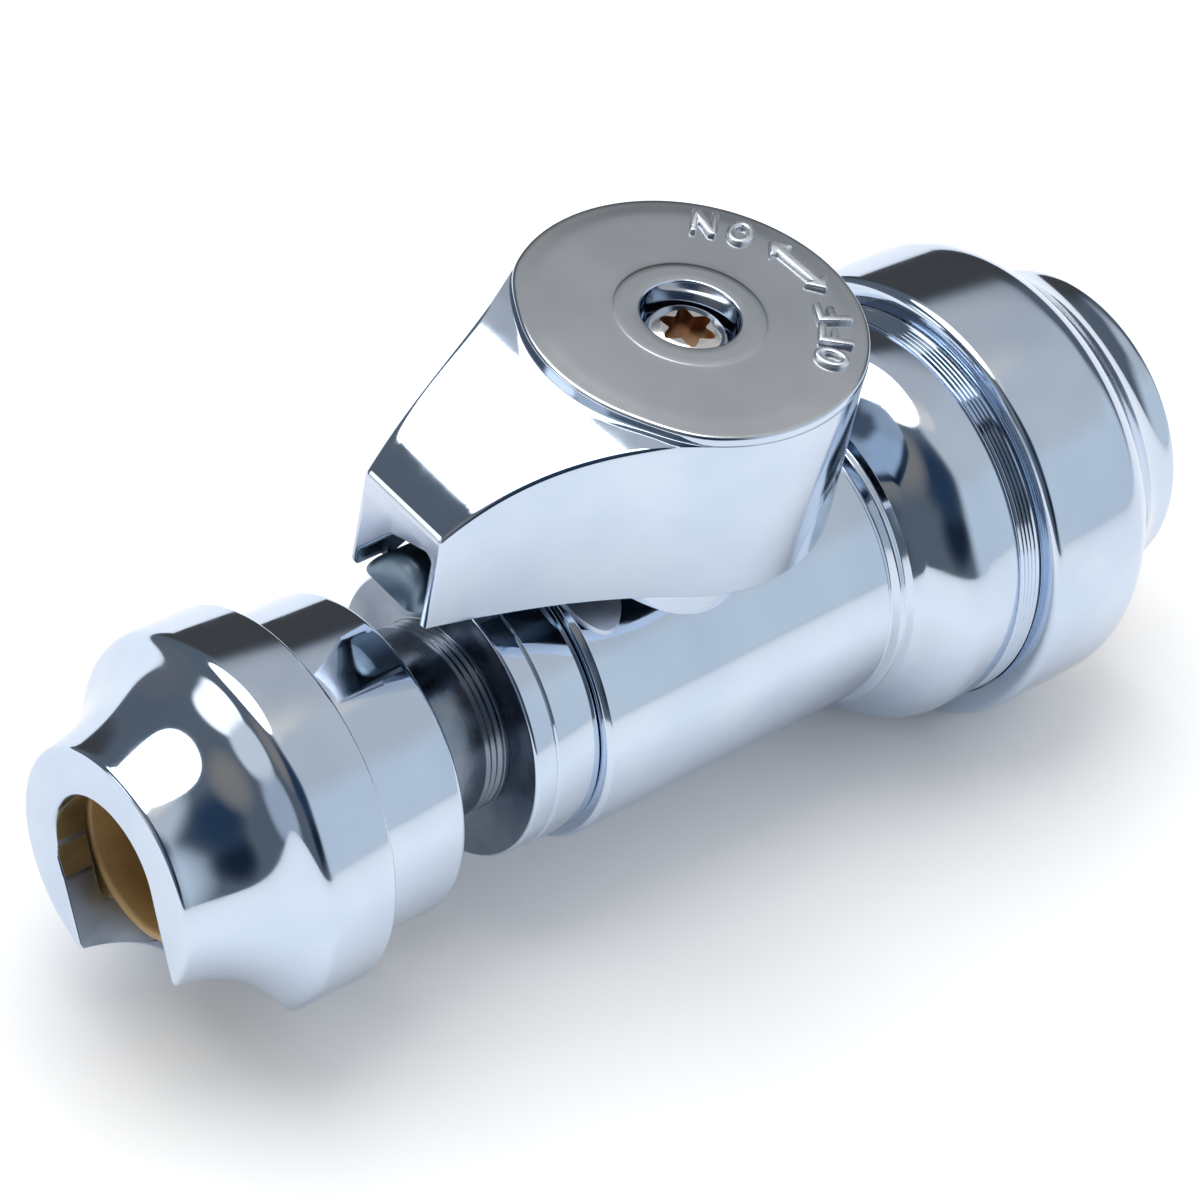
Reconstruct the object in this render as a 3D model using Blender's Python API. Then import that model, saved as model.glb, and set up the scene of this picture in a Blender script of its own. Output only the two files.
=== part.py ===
"""Straight isolating valve: a quarter-turn ball valve with a push-fit socket at each end.

Lengths in this file are millimetres and become metres where a mesh is made.
X runs along the pipe from the small inlet to the large outlet and Z runs up the spindle.
The origin is where the pipe axis and the spindle axis cross, so every joint axis passes through it.
Distances called "along" are measured from the origin towards the end they belong to.
"""
import math
from types import SimpleNamespace

import bmesh
import bpy
from mathutils import Matrix, Vector

for item in list(bpy.data.objects):
    bpy.data.objects.remove(item, do_unlink=True)

MM = 0.001
FIT = 0.3  # air left between two pieces that touch in the real valve
CLEAR = 3.0  # how far a cutter reaches past what it cuts
OVERLAP = 0.5  # how far two shapes that are joined run into each other
SIDES = 48  # facets round an outer turned piece
INNER_SIDES = 32  # facets round a hidden or small turned piece
DISC_SIDES = 60  # facets round the handle's disc

# Body casting
BODY_R = 10.3
BODY_START = -9.8
BODY_LIP_R = BODY_R - 0.65
BODY_LIP_LENGTH = 1.6
STEP_X = 14.0
STEP_RISE = 0.4
STEP_LAND = 0.7
FOOT = (1.2, 0.55)  # where the step's foot lies from the step, along and outwards
BULGE_START = (1.8, 1.05)  # where the bulge starts from the step, along and outwards
BULGE_LENGTH = 3.8
BULGE_SHARES = ((0.316, 0.6), (0.632, 1.0))
BULGE_WALL = 1.6
BULGE_FLAT = 2.2
WATERWAY_R = 3.4

# Raised oval pad on top of the barrel, partly under the handle
PAD_X = -7.6
PAD_Y = -2.6
PAD_HALF_X = 2.1
PAD_HALF_Y = 3.4
PAD_RISE = 0.3
PAD_ROOT = 2.1
PAD_LOW = 6.0
PAD_HIGH = 12.0

# Ball, seats and the room they need
BALL_R = 6.0
BALL_BORE_R = 3.2
SEAT_R = 6.4
SEAT_FACE = 3.83
SEAT_BACK = 6.5
CHAMBER_R = SEAT_R + FIT
CHAMBER_END = SEAT_BACK + FIT

# Inlet connector, screwed into the body
PILOT_R = SEAT_R
PILOT_END = 7.4
SPIGOT_R = 7.3
COLLAR_START = -BODY_START + FIT
COLLAR_R = 9.55
COLLAR_LINE = 13.15
COLLAR_END = 14.85
COLLAR_DISH = 0.25
COLLAR_LINE_HALF = 0.12
COLLAR_LINE_DEPTH = 0.15
COLLAR_FALL = 0.12
NECK_WALL = 1.35
NECK_LINES = 3
NECK_LINE_DEPTH = 0.2
NECK_LINE_STEP = 0.45

# Spindle, its seals and the tower that guides it
SPINDLE_R = 3.1
SPINDLE_FLANGE_R = 4.4
SPINDLE_FLANGE_LOW = 6.7
SPINDLE_FLANGE_HIGH = 7.6
SPINDLE_BORE_R = SPINDLE_R + FIT
WASHER_LOW = SPINDLE_FLANGE_HIGH + FIT
WASHER_HIGH = 8.5
POCKET_R = SPINDLE_FLANGE_R + FIT
POCKET_LOW = 4.0
POCKET_HIGH = WASHER_HIGH + FIT
TANG_WIDTH = 2.0
TANG_LENGTH = 5.4
TANG_LOW = 4.8
GROOVE_R = 2.0
GROOVE_HEIGHT = 1.4
LOWER_GROOVE_Z = 9.9
UPPER_GROOVE_Z = 12.6
SHAFT_TOP = 15.8
SQUARE = 4.4
SQUARE_TOP = 20.3
TOWER_R = 7.0
TOWER_LOW = 6.85
TOWER_TOP = 15.2
TOWER_CHAMFER = 0.4
LUG_ANGLE = 45.0
LUG_REACH = 9.1
LUG_WIDTH = 2.0
LUG_LOW = 13.8
LUG_TOP = TOWER_TOP - 0.1

# Handle
HANDLE_BOTTOM = 13.2
HUB_R = 10.95
NOSE_TIP_X = -20.9
NOSE_TIP_HALF = 3.5
NOSE_TIP_Z = 20.1
HUB_TOP = 25.05
DISC_R = 10.75
DISC_TOP = 25.95
DISC_EDGE = 0.25
HANDLE_WALL = 1.5
ROOF = 1.7
BOSS_R = 4.4
BOSS_LOW = 16.3
SQUARE_HOLE_TOP = SQUARE_TOP + FIT
COUNTERBORE_R = 3.15
COUNTERBORE_FLOOR = 23.0
WEB_WIDTH = 1.2
WEB_LOW = 15.8
WEB_START_X = -16.5
STOP_REACH = TOWER_R + 0.4
STOP_WIDTH = 1.8
STOP_LOW = 13.6
STOP_APART = 16.0  # degrees from the lug to a stop rib that rests against it
TURN = 90.0
NOSE_SIDE = ((NOSE_TIP_X, NOSE_TIP_HALF), (-16.5, 4.65), (-11.5, 6.0), (-6.0, 9.16))
NOSE_TOP = ((NOSE_TIP_X, NOSE_TIP_Z), (-17.5, 22.9), (-14.5, 24.3), (-9.5, HUB_TOP))
WINDOW_TOP = ((2.95, 14.3), (1.8, 15.8), (0.5, 17.5), (-0.9, 18.0), (-2.5, 18.5), (-2.95, 18.2))
WINDOW_SILL = ((-2.9, 14.2), (-2.3, 14.2), (-2.25, 15.2), (-1.6, 15.95), (-0.2, 16.05), (1.5, 15.4), (2.6, 14.5))

# Raised marks on the disc
MARK_RISE = 0.25
MARK_ROOT = 0.4
MARK_TOP = DISC_TOP + MARK_RISE
MARK_STROKE = 0.42
MARK_R = 8.75
LETTER_HALF = 0.85
LETTER_HEIGHT = 2.2
ARROW_HALF = 2.7
ARROW_HEAD = 1.2
ARROW_WIDE = 1.0

# Handle screw
SCREW_R = 1.5
SCREW_HOLE_R = SCREW_R + FIT
SCREW_LOW = 14.5
SCREW_HEAD_R = 2.7
SCREW_HEAD_LOW = COUNTERBORE_FLOOR + FIT
SCREW_HEAD_TOP = 24.9
SCREW_TIP = 0.4
SCREW_DOME = ((0.6, 0.0), (0.2, 0.35), (0.0, 0.8))  # below the head's top, in from its edge
RECESS_R = 1.75
RECESS_WAVE = 0.3
RECESS_DEPTH = 1.0
RECESS_LOBES = 6

# Push-fit ends. Both are built alike from these values.
TUBE_EASE = 0.15
SLIDE = 0.05
GRAB_THICK = 0.3
GRAB_EDGE = 0.1
TOOTH_SHARE = 0.72
SPACER_LENGTH = 1.1
CATCH_THICK = 0.9
COLLAR_CHAMFER = 0.4
RING_PITCH = 0.32
RING_DEPTH = 0.22
RIM_EDGE = 0.7
COVER_CORNER = ((0.8, 0.0), (0.35, 0.1))  # before the shoulder, in from the cover's side


def push_fit(**sizes):
    """One end. Its radii build outwards from the tube, and its stations build along from the tube's stop."""
    end = SimpleNamespace(**sizes)
    end.socket_r = end.tube_r + TUBE_EASE
    end.seal_r = end.socket_r + end.seal_depth
    end.shell_r = end.seal_r + end.shell_wall
    end.cavity_r = end.seal_r + end.cavity_step
    end.cap_r = end.shell_r + FIT + end.cap_wall
    end.cover_r = end.cap_r + FIT + end.cover_wall
    end.sleeve_r = end.socket_r + end.sleeve_wall
    end.catch_r = end.sleeve_r + end.catch_step
    end.bore_r = end.tube_r + end.mouth_ease
    end.throat_r = end.bore_r + end.throat_step
    end.rim_r = end.bore_r + end.rim_width
    end.tooth_root_r = end.socket_r + end.tooth_length
    end.tooth_tip_r = end.socket_r - SLIDE
    end.seal_start = end.stop + end.socket_length
    end.shell_end = end.seal_start + end.seal_room
    end.lip_start = end.shell_end + end.flange_room
    end.cap_end = end.lip_start + end.lip_length
    end.catch_start = end.cap_end + end.travel + FIT
    end.catch_end = end.catch_start + CATCH_THICK
    cone_start = end.catch_end + end.cone_back
    cone_end = cone_start + end.cone_length
    end.cone = ((cone_start, end.catch_r + end.cone_step), (cone_end, end.throat_r + end.cone_edge))
    end.step = cone_end + end.throat_length
    end.front = end.step + end.mouth_length
    return end


INLET = push_fit(
    side=-1,
    stop=16.0,
    tube_r=4.75,
    seal_depth=2.1,
    shell_wall=1.2,
    cavity_step=0.6,
    cap_wall=1.95,
    cover_wall=1.45,
    sleeve_wall=0.9,
    catch_step=2.4,
    mouth_ease=0.13,
    throat_step=1.02,
    rim_width=3.12,
    socket_length=5.6,
    seal_room=4.7,
    seal_bite=0.1,
    cap_behind=0.6,
    flange_room=3.3,
    flange_thick=0.9,
    sleeve_reach=1.6,
    lip_length=1.2,
    travel=1.0,
    cone_back=1.3,
    cone_step=0.9,
    cone_length=2.2,
    cone_edge=0.34,
    throat_length=1.1,
    mouth_length=2.3,
    teeth=12,
    tooth_length=1.6,
    tooth_lean=0.85,
    cap_edge=0.5,
    cap_rings=0,
    cover_overlap=3.05,
    cover_edge=0.12,
    shoulder_back=0.55,
    shoulder_drop=0.0,
    shoulder_shares=((0.08, 0.0), (0.12, 0.69)),
    rim_length=0.7,
    slot_angle=-120.0,
)
OUTLET = push_fit(
    side=1,
    stop=STEP_X,
    tube_r=7.9,
    seal_depth=2.55,
    shell_wall=1.4,
    cavity_step=0.4,
    cap_wall=1.35,
    cover_wall=1.4,
    sleeve_wall=1.15,
    catch_step=2.0,
    mouth_ease=0.25,
    throat_step=1.05,
    rim_width=2.65,
    socket_length=6.0,
    seal_room=5.0,
    seal_bite=0.05,
    cap_behind=-2.1,
    flange_room=4.1,
    flange_thick=1.2,
    sleeve_reach=2.2,
    lip_length=1.5,
    travel=1.2,
    cone_back=0.9,
    cone_step=0.8,
    cone_length=2.3,
    cone_edge=0.2,
    throat_length=1.2,
    mouth_length=2.2,
    teeth=18,
    tooth_length=2.15,
    tooth_lean=0.9,
    cap_edge=0.4,
    cap_rings=5,
    cover_overlap=6.95,
    cover_edge=0.68,
    shoulder_back=-0.1,
    shoulder_drop=0.4,
    shoulder_shares=((0.199, 0.253), (0.567, 1.0)),
    rim_length=0.55,
    slot_angle=-90.0,
)
BULGE_R = OUTLET.shell_r + BULGE_WALL
NECK_R = INLET.socket_r + NECK_WALL


def material(name, rgb, metallic, roughness):
    made = bpy.data.materials.new(name)
    made.use_nodes = True
    shader = made.node_tree.nodes["Principled BSDF"]
    shader.inputs["Base Color"].default_value = (*rgb, 1.0)
    shader.inputs["Metallic"].default_value = metallic
    shader.inputs["Roughness"].default_value = roughness
    return made


CHROME = (0.78, 0.79, 0.81)
STEEL = (0.62, 0.62, 0.63)
TAN = (0.66, 0.50, 0.27)
RUBBER = (0.02, 0.02, 0.02)
WHITE = (0.83, 0.82, 0.79)


def finish(name, mesh, look, smooth_angle=30.0):
    """Puts a mesh into the scene as one named sub-part with its own material."""
    rgb, metallic, roughness = look
    mesh.name = name
    mesh.materials.append(material(name, rgb, metallic, roughness))
    mesh.shade_smooth()
    mesh.set_sharp_from_angle(angle=math.radians(smooth_angle))
    made = bpy.data.objects.new(name, mesh)
    bpy.context.scene.collection.objects.link(made)
    return made


def tool(name, mesh):
    """Puts a mesh into the scene as a hidden shape that a Boolean uses."""
    made = bpy.data.objects.new(name, mesh)
    bpy.context.scene.collection.objects.link(made)
    made.hide_render = True
    made.display_type = "WIRE"
    return made


def change(target, shape, operation):
    step = target.modifiers.new(shape.name, "BOOLEAN")
    step.operation = operation
    step.solver = "EXACT"
    step.object = shape


def cut(target, shape):
    change(target, shape, "DIFFERENCE")


def add(target, shape):
    change(target, shape, "UNION")


def to_mesh(bm):
    bmesh.ops.recalc_face_normals(bm, faces=bm.faces)
    mesh = bpy.data.meshes.new("shape")
    bm.to_mesh(mesh)
    bm.free()
    return mesh


def bezier(points, count):
    """Points along a cubic curve, both ends included."""
    a, b, c, d = [Vector(p) for p in points]
    curve = []
    for i in range(count + 1):
        t = i / count
        s = 1.0 - t
        curve.append(tuple(a * s**3 + b * (3 * s * s * t) + c * (3 * s * t * t) + d * t**3))
    return curve


def eased(start, end, shares, count):
    """A cubic curve between two profile points, its inner control points given as shares of the way."""
    run = Vector(end) - Vector(start)
    controls = [(start[0] + run.x * along, start[1] + run.y * across) for along, across in shares]
    return bezier((start, *controls, end), count)


def arc(centre, radius, start, end, count):
    """Points on a circle from one angle to another in degrees, both ends included."""
    swept = []
    for i in range(count + 1):
        angle = math.radians(start + (end - start) * i / count)
        swept.append((centre[0] + radius * math.cos(angle), centre[1] + radius * math.sin(angle)))
    return swept


def moved_line(start, end, distance):
    """A straight stretch of profile moved sideways, towards the axis."""
    along = (Vector(end) - Vector(start)).normalized()
    sideways = Vector((along.y, -along.x)) * distance
    return [tuple(Vector(start) + sideways), tuple(Vector(end) + sideways)]


def turned(outline, sides, axis="X", side=1, solid=False):
    """Turns an (along, radius) outline round an axis. A solid one is closed by a flat face at each end."""
    bm = bmesh.new()
    rings = []
    for along, radius in outline:
        ring = []
        for i in range(sides):
            angle = 2 * math.pi * i / sides
            across = radius * math.cos(angle)
            up = radius * math.sin(angle)
            place = (side * along, across, up) if axis == "X" else (across, up, along)
            ring.append(bm.verts.new(Vector(place) * MM))
        rings.append(ring)
    following_rings = rings[1:] if solid else rings[1:] + rings[:1]
    for ring, following in zip(rings, following_rings):
        for i in range(sides):
            j = (i + 1) % sides
            bm.faces.new((ring[i], ring[j], following[j], following[i]))
    if solid:
        bm.faces.new(rings[0])
        bm.faces.new(rings[-1])
    return to_mesh(bm)


def post(low, high, radius, sides=INNER_SIDES):
    """A plain round post on the spindle axis."""
    return turned([(low, radius), (high, radius)], sides, "Z", solid=True)


def prism(outline, low, high, plane="XY", turn=0.0):
    """Extrudes an outline. Its plane is XY, XZ or YZ, and turn rotates the result about Z in degrees."""
    place = {
        "XY": lambda a, b, c: (a, b, c),
        "XZ": lambda a, b, c: (a, c, b),
        "YZ": lambda a, b, c: (c, a, b),
    }[plane]
    bm = bmesh.new()
    bottom = [bm.verts.new(Vector(place(a, b, low)) * MM) for a, b in outline]
    top = [bm.verts.new(Vector(place(a, b, high)) * MM) for a, b in outline]
    bm.faces.new(bottom)
    bm.faces.new(top)
    for i in range(len(outline)):
        j = (i + 1) % len(outline)
        bm.faces.new((bottom[i], bottom[j], top[j], top[i]))
    bmesh.ops.rotate(bm, cent=(0, 0, 0), matrix=Matrix.Rotation(math.radians(turn), 3, "Z"), verts=bm.verts)
    return to_mesh(bm)


def hoop_prism(outer, inner, low, high):
    """Extrudes the band between two outlines that have the same number of points."""
    bm = bmesh.new()
    rows = []
    for outline, height in ((outer, low), (outer, high), (inner, high), (inner, low)):
        rows.append([bm.verts.new(Vector((a, b, height)) * MM) for a, b in outline])
    for row, following in zip(rows, rows[1:] + rows[:1]):
        for i in range(len(row)):
            j = (i + 1) % len(row)
            bm.faces.new((row[i], row[j], following[j], following[i]))
    return to_mesh(bm)


def box(x, y, z, turn=0.0):
    """A box between pairs of limits, rotated about Z."""
    return prism([(x[0], y[0]), (x[1], y[0]), (x[1], y[1]), (x[0], y[1])], z[0], z[1], "XY", turn)


def rectangle(along, radius):
    return [(along[0], radius[0]), (along[1], radius[0]), (along[1], radius[1]), (along[0], radius[1])]


def body():
    bulge_start = (STEP_X + BULGE_START[0], BODY_R + BULGE_START[1])
    bulge_top = (bulge_start[0] + BULGE_LENGTH, BULGE_R)
    bulge_end = bulge_top[0] + BULGE_FLAT
    outline = [
        (BODY_START, SPIGOT_R + FIT),
        (BODY_START, BODY_LIP_R),
        (BODY_START + BODY_LIP_LENGTH, BODY_R),
        (STEP_X, BODY_R),
        (STEP_X + STEP_RISE, BODY_R + STEP_RISE),
        (STEP_X + STEP_LAND, BODY_R + STEP_RISE),
        (STEP_X + FOOT[0], BODY_R + FOOT[1]),
        *eased(bulge_start, bulge_top, BULGE_SHARES, 5),
        (bulge_end, BULGE_R),
        (bulge_end, OUTLET.shell_r),
        (OUTLET.shell_end, OUTLET.shell_r),
        (OUTLET.shell_end, OUTLET.seal_r),
        (OUTLET.seal_start, OUTLET.seal_r),
        (OUTLET.seal_start, OUTLET.socket_r),
        (OUTLET.stop, OUTLET.socket_r),
        (OUTLET.stop, WATERWAY_R),
        (CHAMBER_END, WATERWAY_R),
        (CHAMBER_END, CHAMBER_R),
        (-PILOT_END + FIT, CHAMBER_R),
        (-PILOT_END + FIT, SPIGOT_R + FIT),
    ]
    made = finish("body", turned(outline, SIDES), (CHROME, 1.0, 0.08))
    tower = [
        (TOWER_LOW, TOWER_R),
        (TOWER_TOP - TOWER_CHAMFER, TOWER_R),
        (TOWER_TOP, TOWER_R - TOWER_CHAMFER),
    ]
    add(made, tool("tower", turned(tower, INNER_SIDES, "Z", solid=True)))
    half = LUG_WIDTH / 2
    lug = box((TOWER_R - 2 * OVERLAP, LUG_REACH), (-half, half), (LUG_LOW, LUG_TOP), LUG_ANGLE)
    add(made, tool("stop_lug", lug))
    pad = tool("pad", prism(ellipse(PAD_X, PAD_Y, PAD_HALF_X, PAD_HALF_Y, 24), PAD_LOW, PAD_HIGH))
    change(pad, tool("pad_face", turned(pad_skin(), SIDES)), "INTERSECT")
    add(made, pad)
    cut(made, tool("spindle_pocket", post(POCKET_LOW, POCKET_HIGH, POCKET_R)))
    cut(made, tool("spindle_bore", post(POCKET_HIGH - OVERLAP, TOWER_TOP + CLEAR, SPINDLE_BORE_R)))
    return made


def pad_skin():
    """A sleeve whose outside is the pad's raised face and whose inside lies within the barrel wall."""
    reach = PAD_HALF_X + CLEAR
    return rectangle((PAD_X - reach, PAD_X + reach), (BODY_R - PAD_ROOT, BODY_R + PAD_RISE))


def ellipse(x, y, half_x, half_y, count):
    points = []
    for i in range(count):
        angle = 2 * math.pi * i / count
        points.append((x + half_x * math.cos(angle), y + half_y * math.sin(angle)))
    return points


def connector():
    end = INLET
    outline = [
        (CHAMBER_END, WATERWAY_R),
        (CHAMBER_END, PILOT_R),
        (PILOT_END, PILOT_R),
        (PILOT_END, SPIGOT_R),
        (COLLAR_START, SPIGOT_R),
        (COLLAR_START, COLLAR_R),
        (COLLAR_LINE - COLLAR_LINE_HALF, COLLAR_R),
        (COLLAR_LINE, COLLAR_R - COLLAR_LINE_DEPTH),
        (COLLAR_LINE + COLLAR_LINE_HALF, COLLAR_R - COLLAR_LINE_DEPTH / 2),
        (COLLAR_END, COLLAR_R - COLLAR_FALL),
        (COLLAR_END - COLLAR_DISH, NECK_R),
    ]
    for i in range(NECK_LINES):
        start = COLLAR_END + NECK_LINE_STEP * i
        outline.append((start, NECK_R))
        outline.append((start + NECK_LINE_STEP / 2, NECK_R - NECK_LINE_DEPTH))
    outline += [
        (COLLAR_END + NECK_LINE_STEP * NECK_LINES, NECK_R),
        (cap_back(end) + FIT, NECK_R),
        (cap_back(end) + FIT, end.shell_r),
        (end.shell_end, end.shell_r),
        (end.shell_end, end.seal_r),
        (end.seal_start, end.seal_r),
        (end.seal_start, end.socket_r),
        (end.stop, end.socket_r),
        (end.stop, WATERWAY_R),
    ]
    return finish("inlet_connector", turned(outline, SIDES, side=end.side), (CHROME, 1.0, 0.08))


def ball():
    half = math.degrees(math.asin(BALL_BORE_R / BALL_R))
    made = finish(
        "ball", turned(arc((0, 0), BALL_R, half, 180.0 - half, 12), INNER_SIDES), (CHROME, 1.0, 0.05)
    )
    wide = TANG_WIDTH / 2 + FIT
    cut(made, tool("ball_slot", box((-wide, wide), (-BALL_R, BALL_R), (TANG_LOW - FIT, BALL_R + CLEAR))))
    return made


def seat(name, side):
    """A ring whose hollow face follows the ball at the fit distance."""
    sphere = BALL_R + FIT
    hollow = []
    for radius in (5.0, 4.6, 4.2, 3.8, 3.4):
        hollow.append((math.sqrt(sphere**2 - radius**2), radius))
    outline = [(SEAT_BACK, SEAT_R), (SEAT_FACE, SEAT_R), *hollow, (SEAT_BACK, hollow[-1][1])]
    return finish(name, turned(outline, INNER_SIDES, side=side), (WHITE, 0.0, 0.45))


def spindle():
    outline = [(SPINDLE_FLANGE_LOW, SPINDLE_FLANGE_R), (SPINDLE_FLANGE_HIGH, SPINDLE_FLANGE_R)]
    outline.append((SPINDLE_FLANGE_HIGH, SPINDLE_R))
    for low in (LOWER_GROOVE_Z, UPPER_GROOVE_Z):
        outline += [(low, SPINDLE_R), (low, GROOVE_R)]
        outline += [(low + GROOVE_HEIGHT, GROOVE_R), (low + GROOVE_HEIGHT, SPINDLE_R)]
    outline.append((SHAFT_TOP, SPINDLE_R))
    made = finish("spindle", turned(outline, INNER_SIDES, "Z", solid=True), (TAN, 1.0, 0.25))
    tang = box(
        (-TANG_WIDTH / 2, TANG_WIDTH / 2),
        (-TANG_LENGTH / 2, TANG_LENGTH / 2),
        (TANG_LOW, SPINDLE_FLANGE_LOW + OVERLAP),
    )
    add(made, tool("tang", tang))
    half = SQUARE / 2
    add(made, tool("square", box((-half, half), (-half, half), (SHAFT_TOP - OVERLAP, SQUARE_TOP))))
    cut(made, tool("tapped_hole", post(SCREW_LOW - FIT, SQUARE_TOP + CLEAR, SCREW_HOLE_R)))
    return made


def washer():
    ring = rectangle((WASHER_LOW, WASHER_HIGH), (SPINDLE_BORE_R, SPINDLE_FLANGE_R))
    return finish("thrust_washer", turned(ring, INNER_SIDES, "Z"), (WHITE, 0.0, 0.4))


def spindle_ring(name, low):
    """A rubber ring in a spindle groove, clear of the groove and of the tower's bore."""
    section = (SPINDLE_BORE_R - GROOVE_R - 2 * FIT) / 2
    middle = (low + GROOVE_HEIGHT / 2, (SPINDLE_BORE_R + GROOVE_R) / 2)
    ring = arc(middle, section, 0.0, 360.0, 8)[:-1]
    return finish(name, turned(ring, INNER_SIDES, "Z"), (RUBBER, 0.0, 0.6))


def handle_plan(inset):
    """The handle seen from above: a round hub with a nose, drawn a given distance inside its edge."""
    side = []
    for x, half in bezier(NOSE_SIDE, 8)[:-1]:
        side.append((max(x, NOSE_TIP_X + inset), half - inset))
    join = math.degrees(math.atan2(NOSE_SIDE[3][1], NOSE_SIDE[3][0]))
    hub = arc((0, 0), HUB_R - inset, join, -join, 30)
    return side + hub + [(x, -half) for x, half in reversed(side)]


def over_nose(drop):
    """The space above the handle's sloping top, lowered by a distance."""
    line = [(x, z - drop) for x, z in bezier(NOSE_TOP, 8)]
    before = (NOSE_TIP_X - CLEAR, NOSE_TIP_Z - CLEAR - drop)
    after = HUB_R + CLEAR
    sky = DISC_TOP + 2 * CLEAR
    return [before, *line, (after, HUB_TOP - drop), (after, sky), (before[0], sky)]


def cavity():
    """The hollow under the handle, with its boss, its middle web and its two stop ribs left standing."""
    high = DISC_TOP + CLEAR
    made = tool("handle_cavity", prism(handle_plan(HANDLE_WALL), HANDLE_BOTTOM - CLEAR, HUB_TOP + CLEAR))
    cut(made, tool("cavity_roof", prism(over_nose(ROOF), -HUB_R - CLEAR, HUB_R + CLEAR, "XZ")))
    cut(made, tool("boss", post(BOSS_LOW, high, BOSS_R)))
    web = box((WEB_START_X, -BOSS_R + 2 * OVERLAP), (-WEB_WIDTH / 2, WEB_WIDTH / 2), (WEB_LOW, high))
    cut(made, tool("nose_web", web))
    half = STOP_WIDTH / 2
    stops = {"open_stop": LUG_ANGLE - STOP_APART, "closed_stop": LUG_ANGLE + TURN + STOP_APART}
    for name, angle in stops.items():
        cut(made, tool(name, box((STOP_REACH, HUB_R), (-half, half), (STOP_LOW, high), angle)))
    return made


def window():
    """The opening in the front of the nose, above its arched sill."""
    return prism(WINDOW_TOP + WINDOW_SILL, NOSE_TIP_X - CLEAR, NOSE_TIP_X + HANDLE_WALL + OVERLAP, "YZ")


def placed(points, angle, radius, shift=0.0):
    """Lays a flat mark on the disc with its top towards the centre."""
    outward = Vector((math.cos(math.radians(angle)), math.sin(math.radians(angle))))
    right = Vector((-outward.y, outward.x))
    return [tuple(outward * (radius - b) + right * (a + shift)) for a, b in points]


def letter_n(half, height):
    s = MARK_STROKE
    top = height / 2
    return [
        (-half, -top),
        (-half + s, -top),
        (-half + s, top - 2.2 * s),
        (half - s, -top),
        (half, -top),
        (half, top),
        (half - s, top),
        (half - s, -top + 2.2 * s),
        (-half + s, top),
        (-half, top),
    ]


def letter_f(half, height):
    s = MARK_STROKE
    top = height / 2
    return [
        (-half, -top),
        (-half + s, -top),
        (-half + s, -0.3 * s),
        (half * 0.6, -0.3 * s),
        (half * 0.6, 0.7 * s),
        (-half + s, 0.7 * s),
        (-half + s, top - s),
        (half, top - s),
        (half, top),
        (-half, top),
    ]


def double_arrow(half, head, wide):
    s = MARK_STROKE * 0.7
    return [
        (-half, 0.0),
        (-half + head, -wide),
        (-half + head, -s),
        (half - head, -s),
        (half - head, -wide),
        (half, 0.0),
        (half - head, wide),
        (half - head, s),
        (-half + head, s),
        (-half + head, wide),
    ]


def marks():
    """Raised ON, OFF and a double arrow between them."""
    made = {}

    def raised(name, points):
        made[name] = prism(points, DISC_TOP - MARK_ROOT, MARK_TOP)

    def letter_o(name, angle):
        outer = ellipse(0, 0, LETTER_HALF, LETTER_HEIGHT / 2, 16)
        inner = ellipse(0, 0, LETTER_HALF - MARK_STROKE, LETTER_HEIGHT / 2 - MARK_STROKE, 16)
        rows = placed(outer, angle, MARK_R), placed(inner, angle, MARK_R)
        made[name] = hoop_prism(*rows, DISC_TOP - MARK_ROOT, MARK_TOP)

    letter_o("on_o", 28.5)
    raised("on_n", placed(letter_n(LETTER_HALF, LETTER_HEIGHT), 43.5, MARK_R))
    raised("arrow", placed(double_arrow(ARROW_HALF, ARROW_HEAD, ARROW_WIDE), 0.5, MARK_R))
    letter_o("off_o", -57.0)
    raised("off_f1", placed(letter_f(LETTER_HALF, LETTER_HEIGHT), -43.0, MARK_R))
    raised("off_f2", placed(letter_f(LETTER_HALF, LETTER_HEIGHT), -29.5, MARK_R))
    return made


def handle():
    made = finish("handle", prism(handle_plan(0.0), HANDLE_BOTTOM, DISC_TOP + CLEAR), (CHROME, 1.0, 0.06))
    cut(made, tool("sky", prism(over_nose(0.0), -HUB_R - CLEAR, HUB_R + CLEAR, "XZ")))
    top = [
        (HUB_TOP - 2 * OVERLAP, DISC_R),
        (DISC_TOP - DISC_EDGE, DISC_R),
        (DISC_TOP, DISC_R - DISC_EDGE),
    ]
    add(made, tool("handle_disc", turned(top, DISC_SIDES, "Z", solid=True)))
    cut(made, cavity())
    cut(made, tool("nose_window", window()))
    for name, mesh in marks().items():
        add(made, tool(name, mesh))
    cut(made, tool("counterbore", post(COUNTERBORE_FLOOR, MARK_TOP + CLEAR, COUNTERBORE_R)))
    way = post(SQUARE_HOLE_TOP - OVERLAP, COUNTERBORE_FLOOR + OVERLAP, SCREW_HOLE_R)
    cut(made, tool("screw_way", way))
    half = SQUARE / 2 + FIT
    cut(made, tool("square_hole", box((-half, half), (-half, half), (BOSS_LOW - CLEAR, SQUARE_HOLE_TOP))))
    return made


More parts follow.
